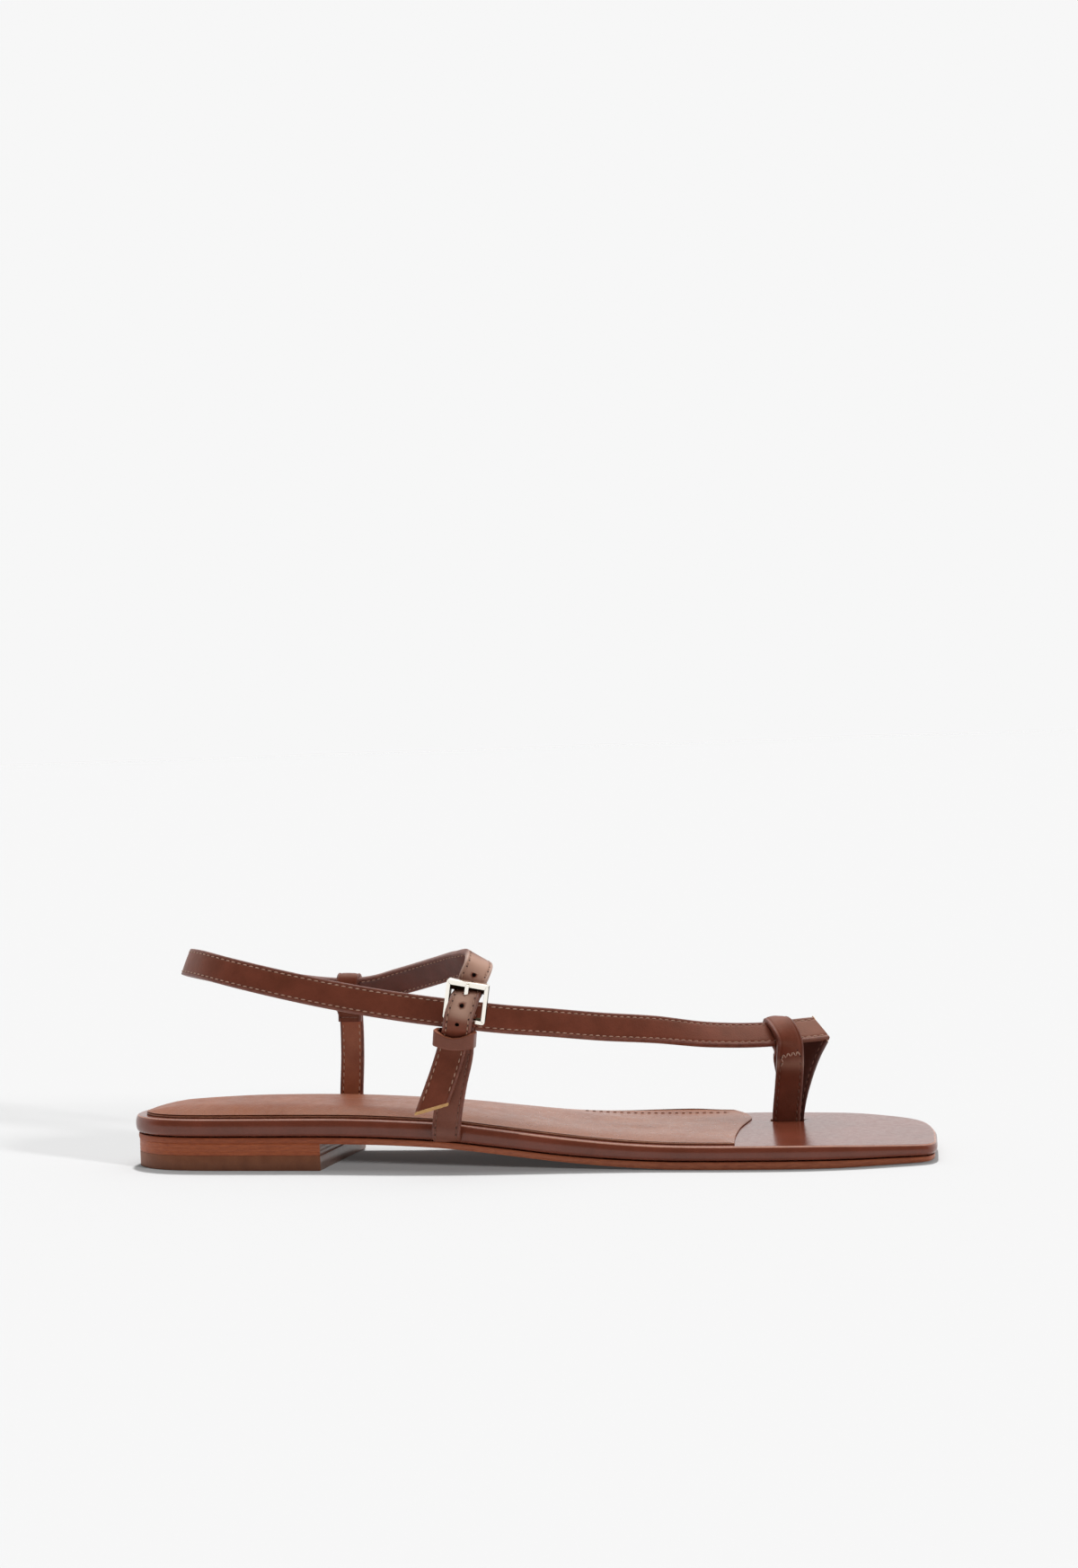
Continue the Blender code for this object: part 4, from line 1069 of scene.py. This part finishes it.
stitchLook = {
    "pitch": 2.25, "length": 1.35, "thick": 0.38, "sides": 6, "parts": 4, "arch": 0.16, "slant": 5.0,
    "sink": 0.08, "endNarrow": 0.45, "endFlat": 0.35, "smooth": 60.0,
    "pin": 0.28, "pinSides": 6, "pinRings": 4, "pinRise": 0.03,
    "start": 1.0, "postStart": 6.5, "tipEnd": -1.5,  # how far from a strap's ends the rows begin and stop
}


def takeShape(made):
    # the points and faces of a model that is copied
    points = np.array([vertex.co for vertex in made.data.vertices])
    faces = [tuple(polygon.vertices) for polygon in made.data.polygons]
    bpy.data.objects.remove(made, do_unlink=True)
    return points, faces


def modelStitch():
    # one stitch: a short length of thread whose ends dive into the leather
    bpy.ops.object.select_all(action="DESELECT")
    bpy.ops.mesh.primitive_cylinder_add(vertices=stitchLook["sides"], radius=stitchLook["thick"] / 2.0,
                                        depth=stitchLook["length"], rotation=(0.0, math.pi / 2.0, 0.0))
    made = bpy.context.object
    bpy.ops.object.transform_apply(location=True, rotation=True, scale=True)
    bpy.ops.object.mode_set(mode="EDIT")
    for part in range(1, stitchLook["parts"]):
        where = stitchLook["length"] * (part / stitchLook["parts"] - 0.5)
        bpy.ops.mesh.select_all(action="SELECT")
        bpy.ops.mesh.bisect(plane_co=(where, 0.0, 0.0), plane_no=(1.0, 0.0, 0.0))
    bpy.ops.object.mode_set(mode="OBJECT")
    for vertex in made.data.vertices:
        share = 2.0 * vertex.co.x / stitchLook["length"]
        vertex.co.y *= 1.0 - stitchLook["endNarrow"] * share**2
        vertex.co.z = vertex.co.z * (1.0 - stitchLook["endFlat"] * share**2) - stitchLook["arch"] * share**2
    return takeShape(made)


def modelPinhole():
    # the awl's hole at the end of a stitch: a low bead painted nearly black, painted shade, let into the
    # leather
    bpy.ops.object.select_all(action="DESELECT")
    bpy.ops.mesh.primitive_uv_sphere_add(
        segments=stitchLook["pinSides"], ring_count=stitchLook["pinRings"], radius=stitchLook["pin"],
        location=(stitchLook["pitch"] / 2.0, 0.0, 0.0))
    made = bpy.context.object
    bpy.ops.object.transform_apply(location=True, rotation=True, scale=True)
    flat = stitchLook["pinRise"] / stitchLook["pin"]
    level = stitchLook["sink"] - stitchLook["thick"] / 2.0
    points, faces = takeShape(made)
    points[:, 2] = points[:, 2] * flat + level
    return points, faces


stitchPoints, stitchFaces = modelStitch()
pinPoints, pinFaces = modelPinhole()


def stitchRow(rows, step, sideways, out, start, end):
    # places along a strap, at a distance from its middle, on its face (out > 0) or its lining (out < 0)
    _, place, _, face, across = strapLine(rows, step)
    line = place + sideways * across + out * face
    walked = chordLengths(line)
    end = walked[-1] + end
    pitch = stitchLook["pitch"]
    wanted = np.arange(start + pitch / 2.0, end - pitch / 2.0, pitch)
    spot = curveAt(walked, line, wanted)
    ahead = unit(curveAt(walked, slopesOf(walked, line), wanted))
    up = curveAt(walked, math.copysign(1.0, out) * face, wanted)
    up = unit(up - np.sum(up * ahead, axis=1, keepdims=True) * ahead)
    return spot, ahead, up


def sewStitches(name, rowsOfStitches, finish):
    # every stitch is a copy of the modelled one, joined in one mesh
    spots, aheads, ups = (np.concatenate(parts) for parts in zip(*rowsOfStitches))
    slant = math.radians(stitchLook["slant"])
    sideways = np.cross(ups, aheads)
    lead = math.cos(slant) * aheads + math.sin(slant) * sideways
    side = np.cross(ups, lead)
    axes = np.stack([lead, side, ups], axis=1)
    oneStitch = np.concatenate([stitchPoints, pinPoints])
    points = spots[:, None] + np.einsum("pa,nax->npx", oneStitch, axes)
    points = (points.reshape(-1, 3) - shoeMiddle) * mm
    count, first = len(oneStitch), len(stitchPoints)
    oneFaces = stitchFaces + [tuple(index + first for index in face) for face in pinFaces]
    faces = [tuple(index + count * k for index in face) for k in range(len(spots)) for face in oneFaces]
    data = bpy.data.meshes.new(name)
    data.from_pydata(points.tolist(), [], faces)
    data.materials.append(finish)
    # the pinholes take the nearly black hole leather: painted shade
    data.materials.append(holeWithPaintedShade)
    oneSlots = [0] * len(stitchFaces) + [1] * len(pinFaces)
    data.polygons.foreach_set("material_index", oneSlots * len(spots))
    made = bpy.data.objects.new(name, data)
    bpy.context.scene.collection.objects.link(made)
    smooth(made, stitchLook["smooth"])
    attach(made, "root")
    print("made", name, len(spots), "stitches")


def bothEdges(rows, step, width, thickness, start, end=0.0):
    # two rows on the face and two on the lining
    inset = width / 2.0 - strapLook["stitchIn"]
    out = thickness / 2.0 - strapLook["stitchDip"] + stitchLook["thick"] / 2.0 - stitchLook["sink"]
    return [stitchRow(rows, step, edge * inset, side * out, start, end)
            for side in (1.0, -1.0) for edge in (1.0, -1.0)]


def tack(rows, step, path, thickness):
    # stitches from point to point of a path given as distance along the strap and distance from its middle
    far, place, _, face, across = strapLine(rows, step)
    wanted, sideways = np.array(path).T
    out = thickness / 2.0 + stitchLook["thick"] / 2.0 - stitchLook["sink"]
    points = curveAt(far, place, wanted) + sideways[:, None] * curveAt(far, across, wanted)
    up = unit(curveAt(far, face, wanted))
    points = points + out * up
    ahead = unit(np.diff(points, axis=0))
    up = up[:-1] - np.sum(up[:-1] * ahead, axis=1, keepdims=True) * ahead
    return (points[:-1] + points[1:]) / 2.0, ahead, unit(up)


def insoleStitchRow():
    # along the insole's inner edge, a little inside it, where its lip starts to curl
    line = []
    skip = insoleLook["stitchSkip"]
    for row in insoleGrid[skip:-skip, ::-1]:
        if row[0, 0] < insoleLook["stitchFrom"]:
            continue
        walked = chordLengths(row)
        line.append([np.interp(insoleLook["stitchIn"], walked, row[:, axis]) for axis in range(3)])
    line = np.array(line) + (0.0, 0.0, stitchLook["thick"] / 2.0 - stitchLook["sink"])
    walked = chordLengths(line)
    wanted = np.arange(stitchLook["pitch"], walked[-1], stitchLook["pitch"])
    ahead = unit(curveAt(walked, slopesOf(walked, line), wanted))
    up = np.array((0.0, 0.0, 1.0)) - ahead[:, 2:] * ahead
    return curveAt(walked, line, wanted), ahead, unit(up)


tackLook = {
    "toe": [(24.2, -3.0), (25.9, -2.4), (24.6, -1.6), (26.4, -0.9), (24.8, -0.1), (26.6, 0.7), (24.9, 1.5),
            (26.6, 2.2), (25.0, 3.0)],
    "toeSide": [(21.6, -3.1), (23.2, -2.4), (24.4, -3.0)],
    "inner": [(-1.5, -2.6), (-1.5, -1.3), (-1.5, 0.0), (-1.5, 1.3), (-1.5, 2.6)],  # from the loop's end
}
innerFar = rowDistances(innerRows)[-1]
innerTack = [(innerFar + along, sideways) for along, sideways in tackLook["inner"]]
longStep, postStep = strapLook["step"], strapLook["postStep"]
start, postStart = stitchLook["start"], stitchLook["postStart"]
sewStitches("longStrapStitches", bothEdges(longStrapRows, longStep, width, strapLook["thickness"], start,
                                           stitchLook["tipEnd"]), tanThread)
sewStitches("foldedLegStitches", bothEdges(returnLegRows, postStep, width, post, start), brownThread)
sewStitches("toePostStitches", bothEdges(toePostRows, postStep, width, post, start), brownThread)
sewStitches("toeTack", [tack(toeRows, postStep, tackLook[path], post) for path in ("toe", "toeSide")],
            paleThread)
sewStitches("outerPostStitches", bothEdges(outerPostRows, postStep, width, post, postStart), brownThread)
sewStitches("innerPostStitches", bothEdges(innerPostRows, postStep, innerWidth, post, postStart), paleThread)
sewStitches("innerPostTack", [tack(innerRows, postStep, innerTack, post)], brownThread)
sewStitches("insoleStitches", [insoleStitchRow()], brownThread)
print("stitches made")


# Camera, light and floor

cameraLook = {
    "place": (143.34, -892.02, 134.17), "azimuth": 8.75688, "elevation": 1.0890, "roll": 2.0, "lens": 65.914,
    "sensor": 36.0, "clip": (0.01, 50.0),
}


def makeCamera():
    turn, rise, roll = (math.radians(cameraLook[key]) for key in ("azimuth", "elevation", "roll"))
    back = Vector((math.sin(turn) * math.cos(rise), -math.cos(turn) * math.cos(rise), math.sin(rise)))
    right = (-back).cross(Vector((0.0, 0.0, 1.0))).normalized()
    up = right.cross(-back)
    tiltedRight = math.cos(roll) * right - math.sin(roll) * up
    tiltedUp = math.sin(roll) * right + math.cos(roll) * up
    bpy.ops.object.camera_add()
    made = bpy.context.object
    made.name = "photoCamera"
    made.matrix_world = (Matrix.Translation(Vector(cameraLook["place"]) * mm)
                         @ Matrix((tiltedRight, tiltedUp, back)).transposed().to_4x4())
    made.data.sensor_fit = "AUTO"
    made.data.sensor_width = cameraLook["sensor"]
    made.data.lens = cameraLook["lens"]
    made.data.clip_start, made.data.clip_end = cameraLook["clip"]
    bpy.context.scene.camera = made


lightLook = {
    "back": 0.93, "front": 0.08, "frontEnds": (-0.3, 0.15),
    "top": 3.0, "topTowards": (0.0, 0.15, 0.99), "topEnds": (0.72, 0.95),
    "floor": "#808080", "floorGlow": 0.035, "floorWide": 40.0, "floorLow": -0.0001,  # in m
}
# azimuth, elevation, strength, angular size, whether the lamp lights the floor alone, and whether only
# the sole shades it
lampLook = {
    "lowLamp": (-35.6, 12.0, 0.3, 9.0, False, False),
    "floorLamp": (-35.6, 11.0, 9.6, 6.0, True, False),
    "floorFill": (95.0, 66.0, 7.97, 5.0, True, True),
}


def makeLight():
    # a white studio all round, dark on the camera's side and brightest overhead
    world = bpy.data.worlds.new("whiteStudio")
    bpy.context.scene.world = world
    world.use_nodes = True
    tree = world.node_tree
    where = addNode(tree, "ShaderNodeTexCoord").outputs["Generated"]
    parts = addNode(tree, "ShaderNodeSeparateXYZ", {0: where})
    front = addNode(tree, "ShaderNodeMapRange",
                    {"Value": parts.outputs["Y"], "From Min": lightLook["frontEnds"][0],
                     "From Max": lightLook["frontEnds"][1], "To Min": lightLook["front"],
                     "To Max": lightLook["back"]}, interpolation_type="SMOOTHSTEP")
    overhead = addNode(tree, "ShaderNodeVectorMath", {0: where, 1: lightLook["topTowards"]},
                       operation="DOT_PRODUCT")
    above = addNode(tree, "ShaderNodeMapRange",
                    {"Value": overhead.outputs["Value"], "From Min": lightLook["topEnds"][0],
                     "From Max": lightLook["topEnds"][1]}, interpolation_type="SMOOTHSTEP")
    level = addNode(tree, "ShaderNodeMix", {0: above.outputs[0], 2: front.outputs[0], 3: lightLook["top"]})
    tree.links.new(level.outputs[0], tree.nodes["Background"].inputs["Strength"])
    tree.nodes["Background"].inputs["Color"].default_value = (1.0, 1.0, 1.0, 1.0)


def makeLamps(floor):
    # the photo's floor was lit on its own, so its shadows are thin in front and fall back to the left
    floorOnly, soleOnly = (bpy.data.collections.new(name) for name in ("floorOnly", "soleOnly"))
    floorOnly.objects.link(floor)
    for piece in (outsole, heelStack, topLift, footbed):
        soleOnly.objects.link(piece)
    for name, (azimuth, elevation, strength, angle, alone, bySole) in lampLook.items():
        bpy.ops.object.light_add(type="SUN")
        lamp = bpy.context.object
        lamp.name = name
        lamp.rotation_mode = "QUATERNION"
        lamp.rotation_quaternion = Vector(towards(azimuth, elevation)).to_track_quat("Z", "Y")
        lamp.data.energy = strength
        lamp.data.angle = math.radians(angle)
        lamp.visible_glossy = False
        if alone:
            lamp.light_linking.receiver_collection = floorOnly
        if bySole:
            lamp.light_linking.blocker_collection = soleOnly


def makeFloor():
    bpy.ops.object.select_all(action="DESELECT")
    bpy.ops.mesh.primitive_plane_add(size=lightLook["floorWide"], location=(0.0, 0.0, lightLook["floorLow"]))
    floor = bpy.context.object
    floor.name = "paleFloor"
    made, _, shader, _ = newMaterial("paleFloorPaint")
    shader.inputs["Base Color"].default_value = linear(lightLook["floor"])
    shader.inputs["Roughness"].default_value = 1.0
    shader.inputs["Specular IOR Level"].default_value = 0.0
    # the floor glows faintly, a painted light, so the shadow under the arch stays grey
    shader.inputs["Emission Color"].default_value = (1.0, 1.0, 1.0, 1.0)
    shader.inputs["Emission Strength"].default_value = lightLook["floorGlow"]
    floor.data.materials.append(made)
    return floor


makeCamera()
makeLight()
makeLamps(makeFloor())
bpy.context.scene.view_settings.view_transform = "Standard"
print("camera, light and floor made")
